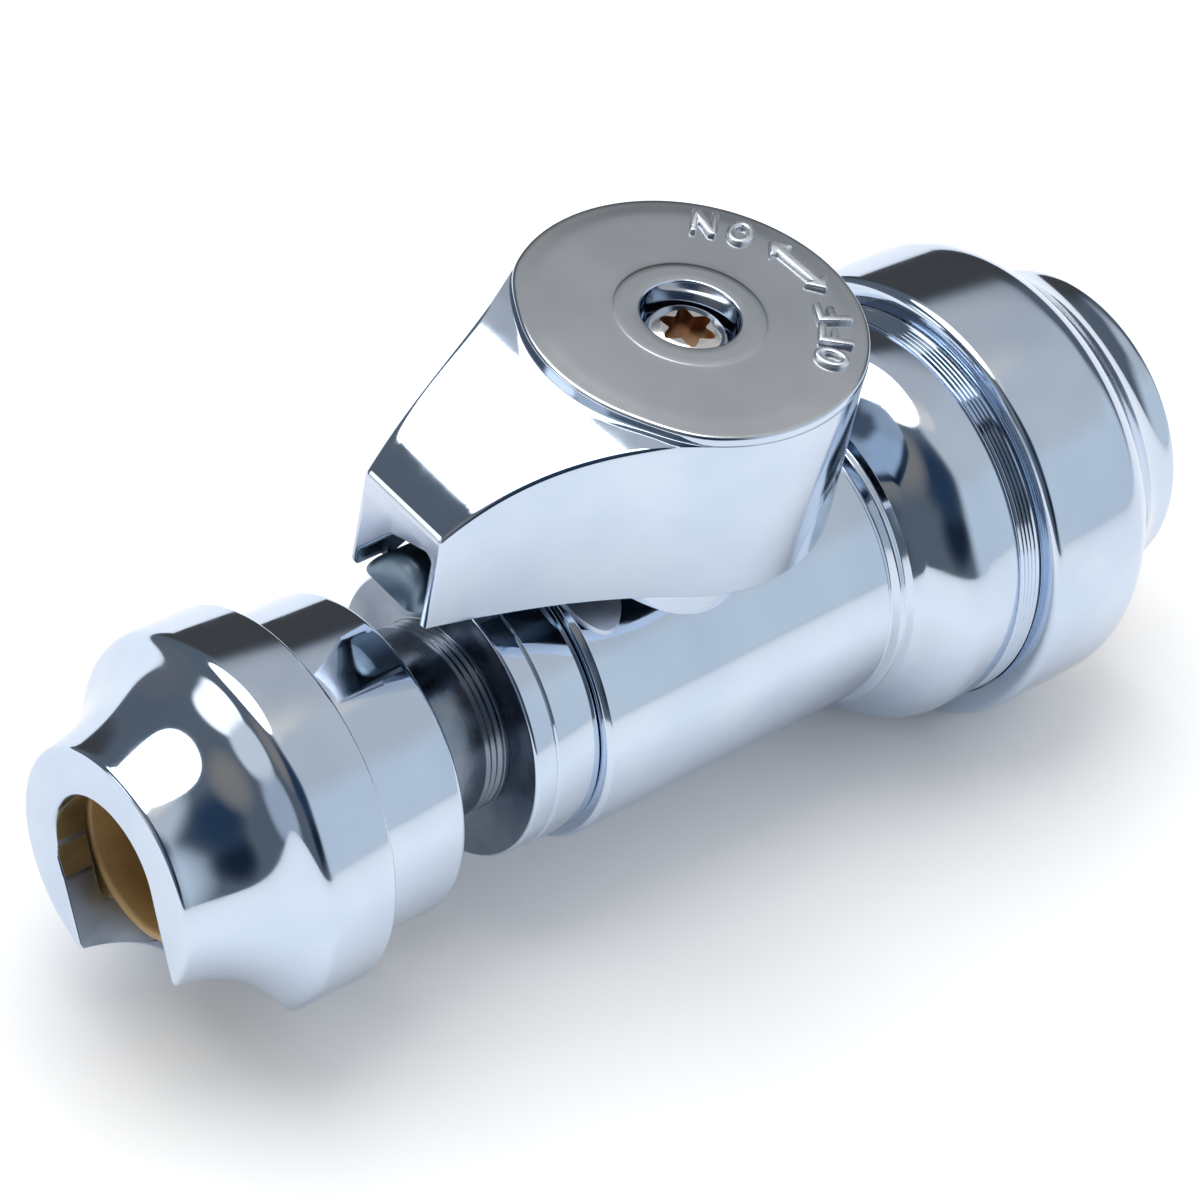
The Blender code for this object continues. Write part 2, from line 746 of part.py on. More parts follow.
def screw():
    outline = [
        (SCREW_LOW, SCREW_R - SCREW_TIP),
        (SCREW_LOW + SCREW_TIP, SCREW_R),
        (SCREW_HEAD_LOW, SCREW_R),
        (SCREW_HEAD_LOW, SCREW_HEAD_R),
        *[(SCREW_HEAD_TOP - below, SCREW_HEAD_R - inward) for below, inward in SCREW_DOME],
    ]
    made = finish("handle_screw", turned(outline, INNER_SIDES, "Z", solid=True), (STEEL, 1.0, 0.2))
    star = []
    for i in range(RECESS_LOBES * 6):
        angle = 2 * math.pi * i / (RECESS_LOBES * 6)
        radius = RECESS_R - RECESS_WAVE + RECESS_WAVE * math.cos(RECESS_LOBES * angle)
        star.append((radius * math.cos(angle), radius * math.sin(angle)))
    cut(made, tool("screw_recess", prism(star, SCREW_HEAD_TOP - RECESS_DEPTH, SCREW_HEAD_TOP + CLEAR)))
    return made


def seal_section(end):
    """The rubber ring's section radius: it lies against the chamber wall and reaches into the tube's way."""
    return (end.seal_depth - FIT + end.seal_bite) / 2


def seal_ring(name, end):
    """The rubber ring that seals on the tube, against the inner wall of the seal chamber."""
    section = seal_section(end)
    middle = (end.seal_start + FIT + section, end.seal_r - FIT - section)
    ring = arc(middle, section, 0.0, 360.0, 10)[:-1]
    return finish(name, turned(ring, INNER_SIDES, side=end.side), (RUBBER, 0.0, 0.6))


def spacer(name, end):
    """The plastic ring between the seal and the teeth."""
    start = end.seal_start + 2 * FIT + 2 * seal_section(end)
    ring = rectangle((start, start + SPACER_LENGTH), (end.socket_r + SLIDE, end.seal_r - FIT))
    return finish(name, turned(ring, INNER_SIDES, side=end.side), (WHITE, 0.0, 0.35))


def grab_ring(name, end):
    """A flat spring-steel ring whose teeth lean inwards, away from the mouth."""
    near = end.shell_end + FIT
    far = near + GRAB_THICK
    rows = (
        (near, end.shell_r - GRAB_EDGE),
        (far, end.shell_r - GRAB_EDGE),
        (far, end.tooth_root_r),
        (far - end.tooth_lean, end.tooth_tip_r),
        (near - end.tooth_lean, end.tooth_tip_r),
        (near, end.tooth_root_r),
    )
    bm = bmesh.new()
    stations = []
    for i in range(end.teeth):
        for share in (0.0, TOOTH_SHARE):
            angle = 2 * math.pi * (i + share) / end.teeth
            station = []
            for along, radius in rows:
                point = Vector((end.side * along, radius * math.cos(angle), radius * math.sin(angle)))
                station.append(bm.verts.new(point * MM))
            stations.append(station)
    for i, station in enumerate(stations):
        following = stations[(i + 1) % len(stations)]
        if i % 2 == 0:
            pairs = ((0, 1), (1, 2), (2, 3), (3, 4), (4, 5), (5, 0))
            bm.faces.new([station[k] for k in (2, 3, 4, 5)])
            bm.faces.new([following[k] for k in (2, 3, 4, 5)])
        else:
            pairs = ((0, 1), (1, 2), (2, 5), (5, 0))
        for a, b in pairs:
            bm.faces.new((station[a], station[b], following[b], following[a]))
    return finish(name, to_mesh(bm), (STEEL, 1.0, 0.25))


def ledge(end):
    """Where the retaining cap steps in behind the grab ring."""
    return end.shell_end + 2 * FIT + GRAB_THICK


def cap_back(end):
    """Where the retaining cap starts, measured from where the seal chamber starts."""
    return end.seal_start - end.cap_behind


def retaining_cap(name, end):
    """The screwed cap that holds the seal, the spacer and the teeth in the socket."""
    edge = end.cap_edge
    near = cap_back(end)
    back = [(near, end.cap_r - edge), (near + edge, end.cap_r)]
    if end.cap_rings:
        back = []
        for i in range(end.cap_rings):
            start = near + RING_PITCH * i
            back += [(start, end.cap_r), (start + RING_PITCH / 2, end.cap_r - RING_DEPTH)]
        back.append((near + RING_PITCH * end.cap_rings, end.cap_r))
    outline = [
        (near, end.shell_r + FIT),
        *back,
        (end.cap_end - edge, end.cap_r),
        (end.cap_end, end.cap_r - edge),
        (end.cap_end, end.sleeve_r + FIT),
        (end.lip_start, end.sleeve_r + FIT),
        (end.lip_start, end.cavity_r),
        (ledge(end), end.cavity_r),
        (ledge(end), end.shell_r + FIT),
    ]
    return finish(name, turned(outline, SIDES, side=end.side), (CHROME, 1.0, 0.08))


def release_collar(name, end):
    """The plastic sleeve that lifts the teeth off the tube when it is pushed in."""
    head = end.catch_end + FIT
    cone = moved_line(end.cone[0], end.cone[1], FIT)
    tip = end.lip_start - end.sleeve_reach
    front = end.step - FIT
    front_r = end.throat_r - FIT
    outline = [
        (tip, end.socket_r + SLIDE),
        (tip, end.sleeve_r - COLLAR_CHAMFER),
        (tip + COLLAR_CHAMFER, end.sleeve_r),
        (end.lip_start - FIT - end.flange_thick, end.sleeve_r),
        (end.lip_start - FIT - end.flange_thick, end.cavity_r - FIT),
        (end.lip_start - FIT, end.cavity_r - FIT),
        (end.lip_start - FIT, end.sleeve_r),
        (head, end.sleeve_r),
        (head, cone[0][1]),
        *cone,
        (cone[1][0] + OVERLAP / 3, front_r),
        (front, front_r),
        (front, end.socket_r + SLIDE + COLLAR_CHAMFER / 2),
        (front - COLLAR_CHAMFER, end.socket_r + SLIDE),
    ]
    return finish(name, turned(outline, INNER_SIDES, side=end.side), (TAN, 0.0, 0.3))


def release_cover(name, end):
    """The chromed cover that rides on the collar, with the slot that lets it clip over a tube."""
    room = end.cap_r + FIT
    back = end.cap_end - end.cover_overlap
    corner = (end.catch_start + end.shoulder_back, end.cover_r - end.shoulder_drop)
    rounding = []
    if end.shoulder_drop:
        rounding = [(corner[0] - before, end.cover_r - inward) for before, inward in COVER_CORNER]
    rim = (end.front - end.rim_length, end.rim_r)
    outline = [
        (back, room),
        (back, end.cover_r - end.cover_edge),
        (back + end.cover_edge, end.cover_r),
        *rounding,
        *eased(corner, rim, end.shoulder_shares, 9),
        (end.front - RIM_EDGE / 2, end.rim_r - RIM_EDGE / 4),
        (end.front, end.rim_r - RIM_EDGE),
        (end.front, end.bore_r),
        (end.step, end.bore_r),
        (end.step, end.throat_r),
        end.cone[1],
        end.cone[0],
        (end.catch_end, end.cone[0][1]),
        (end.catch_end, end.catch_r),
        (end.catch_start, end.catch_r),
        (end.catch_start, room),
    ]
    made = finish(name, turned(outline, SIDES, side=end.side), (CHROME, 1.0, 0.06))
    half = end.bore_r - SLIDE
    slot = box((back - CLEAR, end.front + CLEAR), (-half, half), (0.0, end.cover_r + CLEAR))
    slot.transform(Matrix.Scale(end.side, 4, (1, 0, 0)))
    if end.side < 0:
        slot.flip_normals()
    slot.transform(Matrix.Rotation(math.radians(end.slot_angle - 90.0), 4, "X"))
    cut(made, tool(name + "_slot", slot))
    return made


body()
connector()
ball()
seat("ball_seat_inlet", -1)
seat("ball_seat_outlet", 1)
spindle()
washer()
spindle_ring("spindle_ring_lower", LOWER_GROOVE_Z)
spindle_ring("spindle_ring_upper", UPPER_GROOVE_Z)
handle()
screw()
for word, fitting in (("inlet", INLET), ("outlet", OUTLET)):
    seal_ring(word + "_seal_ring", fitting)
    spacer(word + "_spacer", fitting)
    grab_ring(word + "_grab_ring", fitting)
    retaining_cap(word + "_retaining_cap", fitting)
    release_collar(word + "_release_collar", fitting)
    release_cover(word + "_release_cover", fitting)
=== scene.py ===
"""Looks of the isolating valve: chromed brass castings and turnings, tan acetal collars, plain studio light.

Sizes are millimetres, repeated from the part's source, and become metres where a mesh is made.
X runs along the pipe from the small inlet to the large outlet and Z runs up the spindle.
"""
import math
from types import SimpleNamespace

import bmesh
import bpy
from mathutils import Matrix, Vector
from mathutils.geometry import tessellate_polygon


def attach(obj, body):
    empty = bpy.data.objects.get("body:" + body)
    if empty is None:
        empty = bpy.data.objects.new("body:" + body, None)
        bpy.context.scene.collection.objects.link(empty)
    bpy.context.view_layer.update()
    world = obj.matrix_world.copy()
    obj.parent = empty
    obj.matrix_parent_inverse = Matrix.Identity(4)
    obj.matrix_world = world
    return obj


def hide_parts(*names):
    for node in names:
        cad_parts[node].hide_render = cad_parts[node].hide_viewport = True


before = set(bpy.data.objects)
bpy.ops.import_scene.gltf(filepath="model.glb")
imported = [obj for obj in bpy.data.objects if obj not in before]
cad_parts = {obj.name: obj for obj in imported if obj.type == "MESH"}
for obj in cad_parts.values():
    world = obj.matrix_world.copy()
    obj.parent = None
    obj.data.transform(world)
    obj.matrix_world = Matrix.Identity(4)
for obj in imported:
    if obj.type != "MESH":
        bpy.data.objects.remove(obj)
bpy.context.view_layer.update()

MM = 0.001
ROUND = 192  # faces round a turned piece
CORNER = 5  # faces across a rounded corner
FIT = 0.3


def linear(code):
    """A colour written as sRGB hex, in the linear values that a shader takes."""
    channels = [int(code[i : i + 2], 16) / 255.0 for i in (1, 3, 5)]
    return tuple(c / 12.92 if c <= 0.04045 else ((c + 0.055) / 1.055) ** 2.4 for c in channels) + (1.0,)


def add(tree, kind, inputs=None, **settings):
    """Adds a node. Settings are its own choices, and inputs are values or sockets to link from."""
    made = tree.nodes.new(kind)
    for name, value in settings.items():
        setattr(made, name, value)
    for key, value in (inputs or {}).items():
        if isinstance(value, bpy.types.NodeSocket):
            tree.links.new(value, made.inputs[key])
        else:
            made.inputs[key].default_value = value
    return made


def new_material(name, metallic, roughness, **sockets):
    made = bpy.data.materials.new(name)
    made.use_nodes = True
    shader = made.node_tree.nodes["Principled BSDF"]
    shader.inputs["Metallic"].default_value = metallic
    shader.inputs["Roughness"].default_value = roughness
    for key, value in sockets.items():
        shader.inputs[key.replace("_", " ")].default_value = value
    return made, made.node_tree, shader


def millimetres(tree):
    """Object coordinates in millimetres."""
    place = add(tree, "ShaderNodeTexCoord").outputs["Object"]
    return add(tree, "ShaderNodeVectorMath", {0: place, "Scale": 1000.0}, operation="SCALE").outputs[0]


def blotches(tree, place, size, detail=2.0):
    """Soft noise whose patches are about size millimetres across."""
    return add(
        tree, "ShaderNodeTexNoise", {"Vector": place, "Scale": 1.0 / size, "Detail": detail}
    ).outputs["Fac"]


def tinted(tree, factor, first, second, low=0.35, high=0.65):
    ramp = add(tree, "ShaderNodeValToRGB", {"Fac": factor})
    ramp.color_ramp.elements[0].position = low
    ramp.color_ramp.elements[0].color = linear(first)
    ramp.color_ramp.elements[1].position = high
    ramp.color_ramp.elements[1].color = linear(second)
    return ramp.outputs["Color"]


def spread(tree, factor, low, high):
    limits = {"From Min": 0.3, "From Max": 0.7, "To Min": low, "To Max": high}
    return add(tree, "ShaderNodeMapRange", {"Value": factor, **limits}).outputs["Result"]


def bumped(tree, height, microns, normal=None):
    inputs = {"Height": height, "Distance": microns * 1e-6, "Strength": 1.0}
    if normal is not None:
        inputs["Normal"] = normal
    return add(tree, "ShaderNodeBump", inputs).outputs["Normal"]


def turning_lines(tree, place, axis, pitch):
    """Noise that changes only along the axis and outwards from it, as a lathe's marks do."""
    flat = (0, 1, 1) if axis == "X" else (1, 1, 0)
    across = add(tree, "ShaderNodeVectorMath", {0: place, 1: flat}, operation="MULTIPLY").outputs[0]
    radius = add(tree, "ShaderNodeVectorMath", {0: across}, operation="LENGTH").outputs["Value"]
    parts = add(tree, "ShaderNodeSeparateXYZ", {"Vector": place})
    along = parts.outputs[axis]
    lines = add(tree, "ShaderNodeCombineXYZ", {"X": along, "Y": radius})
    return blotches(tree, lines.outputs[0], pitch, 3.0)


def chrome(name, tone, shade, low, high, swell, swell_microns, axis=None, pitch=0.12, line_microns=0.4):
    """Bright chrome plate on polished brass.

    It mirrors with a cool blue cast. The polishing leaves a slow swell that bends reflections, and
    a turned piece keeps faint lines round its axis.
    """
    made, tree, shader = new_material(name, 1.0, (low + high) / 2)
    place = millimetres(tree)
    patches = blotches(tree, place, 6.0)
    tree.links.new(tinted(tree, patches, tone, shade), shader.inputs["Base Color"])
    smears = blotches(tree, place, 1.6, 4.0)
    tree.links.new(spread(tree, smears, low, high), shader.inputs["Roughness"])
    normal = bumped(tree, blotches(tree, place, swell, 1.0), swell_microns)
    if axis:
        normal = bumped(tree, turning_lines(tree, place, axis, pitch), line_microns, normal)
    tree.links.new(normal, shader.inputs["Normal"])
    return made


def moulded(name, tone, shade, roughness, grain, microns, **sockets):
    """Injection-moulded plastic or rubber: an even colour with slight flow marks and a fine surface grain."""
    made, tree, shader = new_material(name, 0.0, roughness, **sockets)
    place = millimetres(tree)
    tree.links.new(tinted(tree, blotches(tree, place, 3.0), tone, shade), shader.inputs["Base Color"])
    rough = spread(tree, blotches(tree, place, grain * 4, 3.0), roughness * 0.85, roughness * 1.15)
    tree.links.new(rough, shader.inputs["Roughness"])
    tree.links.new(bumped(tree, blotches(tree, place, grain, 4.0), microns), shader.inputs["Normal"])
    return made


def bare_metal(name, tone, shade, low, high, axis, pitch, microns):
    """Metal left as it was machined, with its turning lines open to view."""
    made, tree, shader = new_material(name, 1.0, (low + high) / 2)
    place = millimetres(tree)
    lines = turning_lines(tree, place, axis, pitch)
    tree.links.new(tinted(tree, blotches(tree, place, 2.0), tone, shade), shader.inputs["Base Color"])
    tree.links.new(spread(tree, lines, low, high), shader.inputs["Roughness"])
    tree.links.new(bumped(tree, lines, microns), shader.inputs["Normal"])
    return made


TURNED_CHROME = chrome("chrome_on_turned_brass", "#C9D6E8", "#D1DDEC", 0.05, 0.10, 2.2, 2.0, "X", 0.10, 0.25)
CAST_CHROME = chrome("chrome_on_cast_brass", "#C9D6E8", "#D1DDEC", 0.05, 0.11, 2.8, 3.0)
DISC_CHROME = chrome("chrome_on_buffed_disc", "#C8CDD2", "#D4D8DC", 0.16, 0.21, 3.0, 1.0)
MARK_CHROME = chrome("chrome_on_raised_marks", "#E4E9F2", "#EEF1F8", 0.24, 0.36, 0.35, 10.0)
SATIN_CHROME = chrome("chrome_on_satin_facet", "#D2DAEA", "#DCE3F0", 0.30, 0.42, 2.0, 2.0)
# Chrome inside the handle's hollow and cut openings: its rougher finish is real, and its dark blue-grey tone
# is painted shade for the deep recess.
HOLLOW_SHADE_CHROME = chrome("hollow_chrome_darkened_as_painted_shade", "#6C8092", "#8496A6", 0.34, 0.48, 1.2, 5.0)
SAWN_CHROME = chrome("chrome_on_sawn_slot", "#8992A2", "#9BA4B2", 0.30, 0.44, 0.9, 3.0)
# The connector's narrow neck between collar and cap: its turning lines and rougher finish are real, and its
# darker grey tone is painted shade for the deep groove.
NECK_SHADE_CHROME = chrome("neck_chrome_darkened_as_painted_shade", "#77818F", "#98A2B0", 0.16, 0.30, 1.0, 3.0, "X", 0.14, 3.0)
SCREW_STEEL = bare_metal("plated_steel_screw", "#D8D6D4", "#E6E3DF", 0.12, 0.22, "Z", 0.08, 0.5)
RECESS_STEEL = bare_metal("stained_recess_of_screw", "#8C6A50", "#AE8C6E", 0.3, 0.5, "Z", 0.08, 1.0)
SPRING_STEEL = bare_metal("rolled_stainless_spring", "#C9CBCC", "#D9DADB", 0.2, 0.32, "X", 0.1, 0.6)
SPINDLE_BRASS = bare_metal("turned_free_cutting_brass", "#C79B4E", "#D8AE63", 0.18, 0.3, "Z", 0.1, 0.8)
BALL_CHROME = chrome("chrome_on_ground_ball", "#CAD3E5", "#D2DAEA", 0.03, 0.06, 3.0, 0.6)
COLLAR_ACETAL = moulded("tan_moulded_acetal", "#BD9860", "#CBA870", 0.32, 0.35, 3.0, Specular_IOR_Level=0.5)
SPACER_ACETAL = moulded("white_moulded_acetal", "#DEDBD2", "#E8E6DF", 0.35, 0.35, 3.0)
SEAT_PTFE = moulded("white_ptfe_seat", "#E4E4DF", "#EFEFEB", 0.45, 0.5, 4.0)
SEAL_RUBBER = moulded("black_seal_rubber", "#17181A", "#222326", 0.55, 0.25, 5.0)

CARRIED = {
    "ball": BALL_CHROME,
    "ball_seat_inlet": SEAT_PTFE,
    "ball_seat_outlet": SEAT_PTFE,
    "spindle": SPINDLE_BRASS,
    "thrust_washer": SEAT_PTFE,
    "spindle_ring_lower": SEAL_RUBBER,
    "spindle_ring_upper": SEAL_RUBBER,
    "inlet_seal_ring": SEAL_RUBBER,
    "outlet_seal_ring": SEAL_RUBBER,
    "inlet_spacer": SPACER_ACETAL,
    "outlet_spacer": SPACER_ACETAL,
}
for node_name, look in CARRIED.items():
    for material_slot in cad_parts[node_name].material_slots:
        material_slot.material = look


def rounded(corners, steps=CORNER):
    """A closed outline from (along, across, radius) corners."""
    outline = []
    count = len(corners)
    for i, (a, b, radius) in enumerate(corners):
        corner = Vector((a, b))
        before = Vector(corners[i - 1][:2]) - corner
        after = Vector(corners[(i + 1) % count][:2]) - corner
        half = before.angle(after) / 2 if before.length and after.length else math.pi / 2
        if not radius or abs(half - math.pi / 2) < 0.01:
            outline.append((a, b))
            continue
        reach = min(radius / math.tan(half), 0.45 * before.length, 0.45 * after.length)
        radius = reach * math.tan(half)
        middle = corner + (before.normalized() + after.normalized()).normalized() * (radius / math.sin(half))
        first = corner + before.normalized() * reach - middle
        last = corner + after.normalized() * reach - middle
        swing = first.angle_signed(last)
        for k in range(steps + 1):
            turn = Matrix.Rotation(-swing * k / steps, 2)
            outline.append(tuple(middle + turn @ first))
    return outline


def curve(points, count):
    """Points along a cubic curve, both ends included."""
    a, b, c, d = [Vector(p) for p in points]
    made = []
    for i in range(count + 1):
        t = i / count
        s = 1.0 - t
        made.append(tuple(a * s**3 + b * (3 * s * s * t) + c * (3 * s * t * t) + d * t**3))
    return made


def eased(start, end, shares, count):
    run = Vector(end) - Vector(start)
    controls = [(start[0] + run.x * along, start[1] + run.y * across) for along, across in shares]
    return curve((start, *controls, end), count)


def object_of(name, points, faces, looks, sharp=35.0):
    """A closed mesh from points in millimetres, with its faces turned outwards."""
    mesh = bpy.data.meshes.new(name)
    mesh.from_pydata([Vector(p) * MM for p in points], [], faces)
    bm = bmesh.new()
    bm.from_mesh(mesh)
    bmesh.ops.remove_doubles(bm, verts=bm.verts, dist=1e-7)
    bmesh.ops.dissolve_degenerate(bm, edges=bm.edges, dist=1e-7)
    bmesh.ops.recalc_face_normals(bm, faces=bm.faces)
    bm.to_mesh(mesh)
    bm.free()
    for look in looks:
        mesh.materials.append(look)
    made = bpy.data.objects.new(name, mesh)
    bpy.context.scene.collection.objects.link(made)
    smooth(made, sharp)
    return made


def smooth(made, sharp=35.0):
    made.data.shade_smooth()
    made.data.set_sharp_from_angle(angle=math.radians(sharp))


def lathe(name, outline, looks, axis="X", side=1, faces=ROUND, sharp=35.0):
    """A closed (along, radius) outline turned round an axis."""
    points = []
    for along, radius in outline:
        for i in range(faces):
            angle = 2 * math.pi * i / faces
            across, up = radius * math.cos(angle), radius * math.sin(angle)
            points.append((side * along, across, up) if axis == "X" else (across, up, along))
    quads = []
    rows = len(outline)
    for row in range(rows):
        following = (row + 1) % rows
        for i in range(faces):
            j = (i + 1) % faces
            quads.append((row * faces + i, row * faces + j, following * faces + j, following * faces + i))
    return object_of(name, points, quads, looks, sharp)


def prism(name, outline, low, high, looks=(), plane="XY", turn=0.0):
    place = {
        "XY": lambda a, b, c: (a, b, c),
        "XZ": lambda a, b, c: (a, c, b),
        "YZ": lambda a, b, c: (c, a, b),
    }[plane]
    count = len(outline)
    points = [place(a, b, low) for a, b in outline] + [place(a, b, high) for a, b in outline]
    swing = Matrix.Rotation(math.radians(turn), 3, "Z")
    faces = [tuple(range(count)), tuple(range(count, 2 * count))]
    faces += [(i, (i + 1) % count, count + (i + 1) % count, count + i) for i in range(count)]
    return object_of(name, [swing @ Vector(p) for p in points], faces, looks)


def ellipse(x, y, half_x, half_y, count):
    angles = [2 * math.pi * i / count for i in range(count)]
    return [(x + half_x * math.cos(angle), y + half_y * math.sin(angle)) for angle in angles]


def block(name, x, y, z, turn=0.0):
    return prism(name, [(x[0], y[0]), (x[1], y[0]), (x[1], y[1]), (x[0], y[1])], z[0], z[1], turn=turn)


def post(name, low, high, radius, faces=96):
    return prism(name, ellipse(0, 0, radius, radius, faces), low, high)


def combine(target, shape, operation, face_look=None):
    """Applies an exact Boolean and drops the shape. New faces take the look numbered face_look."""
    if face_look is not None:
        shape.data.materials.clear()
        for look in target.data.materials:
            shape.data.materials.append(look)
        shape.data.polygons.foreach_set("material_index", [face_look] * len(shape.data.polygons))
    step = target.modifiers.new("shape", "BOOLEAN")
    step.operation = operation
    step.solver = "EXACT"
    step.object = shape
    settle(target)
    bpy.data.objects.remove(shape, do_unlink=True)


def settle(made):
    """Bakes an object's modifiers into its mesh."""
    depsgraph = bpy.context.evaluated_depsgraph_get()
    mesh = bpy.data.meshes.new_from_object(made.evaluated_get(depsgraph))
    made.modifiers.clear()
    old = made.data
    made.data = mesh
    bpy.data.meshes.remove(old)


def placed_on(made, body, *nodes):
    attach(made, body)
    if nodes:
        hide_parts(*nodes)
    return made


# Camera, at the photograph's viewing angle

camera_data = bpy.data.cameras.new("camera")
camera_data.lens = 134.6
camera_data.sensor_width = 36.0
camera = bpy.data.objects.new("camera", camera_data)
right = (0.75381, -0.63753, 0.15913)
up = (0.35373, 0.59781, 0.71937)
back = (-0.55375, -0.48598, 0.67615)
turn = Matrix((right, up, back)).transposed().to_4x4()
camera.matrix_world = Matrix.Translation(Vector((-156.654, -135.395, 192.010)) * MM) @ turn
bpy.context.scene.collection.objects.link(camera)
bpy.context.scene.camera = camera
bpy.context.scene.view_settings.view_transform = "Standard"


# Sizes repeated from the part's source

BODY_R = 10.3
BODY_START = -9.8
STEP_X = 14.0
WATERWAY_R = 3.4
CHAMBER_R = 6.7
CHAMBER_END = 6.8
PILOT_R = 6.4
PILOT_END = 7.4
SPIGOT_R = 7.3
COLLAR_R = 9.55
COLLAR_LINE = 13.15
COLLAR_END = 14.85
TOWER_R = 7.0
TOWER_CORE_R = 3.0
TOWER_LOW = 6.85
TOWER_TOP = 15.2
TUBE_EASE = 0.15
SLIDE = 0.05
CATCH_THICK = 0.9


def push_fit(**sizes):
    end = SimpleNamespace(**sizes)
    end.socket_r = end.tube_r + TUBE_EASE
    end.seal_r = end.socket_r + end.seal_depth
    end.shell_r = end.seal_r + end.shell_wall
    end.cavity_r = end.seal_r + end.cavity_step
    end.cap_r = end.shell_r + FIT + end.cap_wall
    end.cover_r = end.cap_r + FIT + end.cover_wall
    end.sleeve_r = end.socket_r + end.sleeve_wall
    end.catch_r = end.sleeve_r + end.catch_step
    end.bore_r = end.tube_r + end.mouth_ease
    end.throat_r = end.bore_r + end.throat_step
    end.rim_r = end.bore_r + end.rim_width
    end.seal_start = end.stop + end.socket_length
    end.shell_end = end.seal_start + end.seal_room
    end.lip_start = end.shell_end + end.flange_room
    end.cap_end = end.lip_start + end.lip_length
    end.cap_back = end.seal_start - end.cap_behind
    end.catch_start = end.cap_end + end.travel + FIT
    end.catch_end = end.catch_start + CATCH_THICK
    cone_start = end.catch_end + end.cone_back
    cone_end = cone_start + end.cone_length
    end.cone = ((cone_start, end.catch_r + end.cone_step), (cone_end, end.throat_r + end.cone_edge))
    end.step = cone_end + end.throat_length
    end.front = end.step + end.mouth_length
    return end


INLET = push_fit(
    side=-1, stop=16.0, tube_r=4.75, seal_depth=2.1, shell_wall=1.2, cavity_step=0.6, cap_wall=1.95,
    cover_wall=1.45, sleeve_wall=0.9, catch_step=2.4, mouth_ease=0.13, throat_step=1.02, rim_width=3.12,
    socket_length=5.6, seal_room=4.7, cap_behind=0.6, flange_room=3.3, flange_thick=0.9, sleeve_reach=1.6,
    lip_length=1.2, travel=1.0, cone_back=1.3, cone_step=0.9, cone_length=2.2, cone_edge=0.34,
    throat_length=1.1, mouth_length=2.3, teeth=12, tooth_length=1.6, tooth_lean=0.85, cover_overlap=3.05,
    shoulder_back=-0.15, shoulder_drop=0.0, soft_shoulder=((0.27, 0.0), (0.12, 0.74)), rim_length=0.7,
    slot_angle=-120.0,
)
OUTLET = push_fit(
    side=1, stop=STEP_X, tube_r=7.9, seal_depth=2.55, shell_wall=1.4, cavity_step=0.4, cap_wall=1.35,
    cover_wall=1.4, sleeve_wall=1.15, catch_step=2.0, mouth_ease=0.25, throat_step=1.05, rim_width=2.65,
    socket_length=6.0, seal_room=5.0, cap_behind=-2.1, flange_room=4.1, flange_thick=1.2, sleeve_reach=2.2,
    lip_length=1.5, travel=1.2, cone_back=0.9, cone_step=0.8, cone_length=2.3, cone_edge=0.2,
    throat_length=1.2, mouth_length=2.2, teeth=18, tooth_length=2.15, tooth_lean=0.9, cover_overlap=6.95,
    shoulder_back=-0.1, shoulder_drop=0.4, soft_shoulder=((0.24, 0.22), (0.567, 1.0)), rim_length=0.55,
    slot_angle=-90.0,
)
BULGE_R = OUTLET.shell_r + 1.6
NECK_R = INLET.socket_r + 1.35


# Body casting, with its spindle tower, stop lug and oval pad

def plain(points):
    return [(a, b, 0.0) for a, b in points]


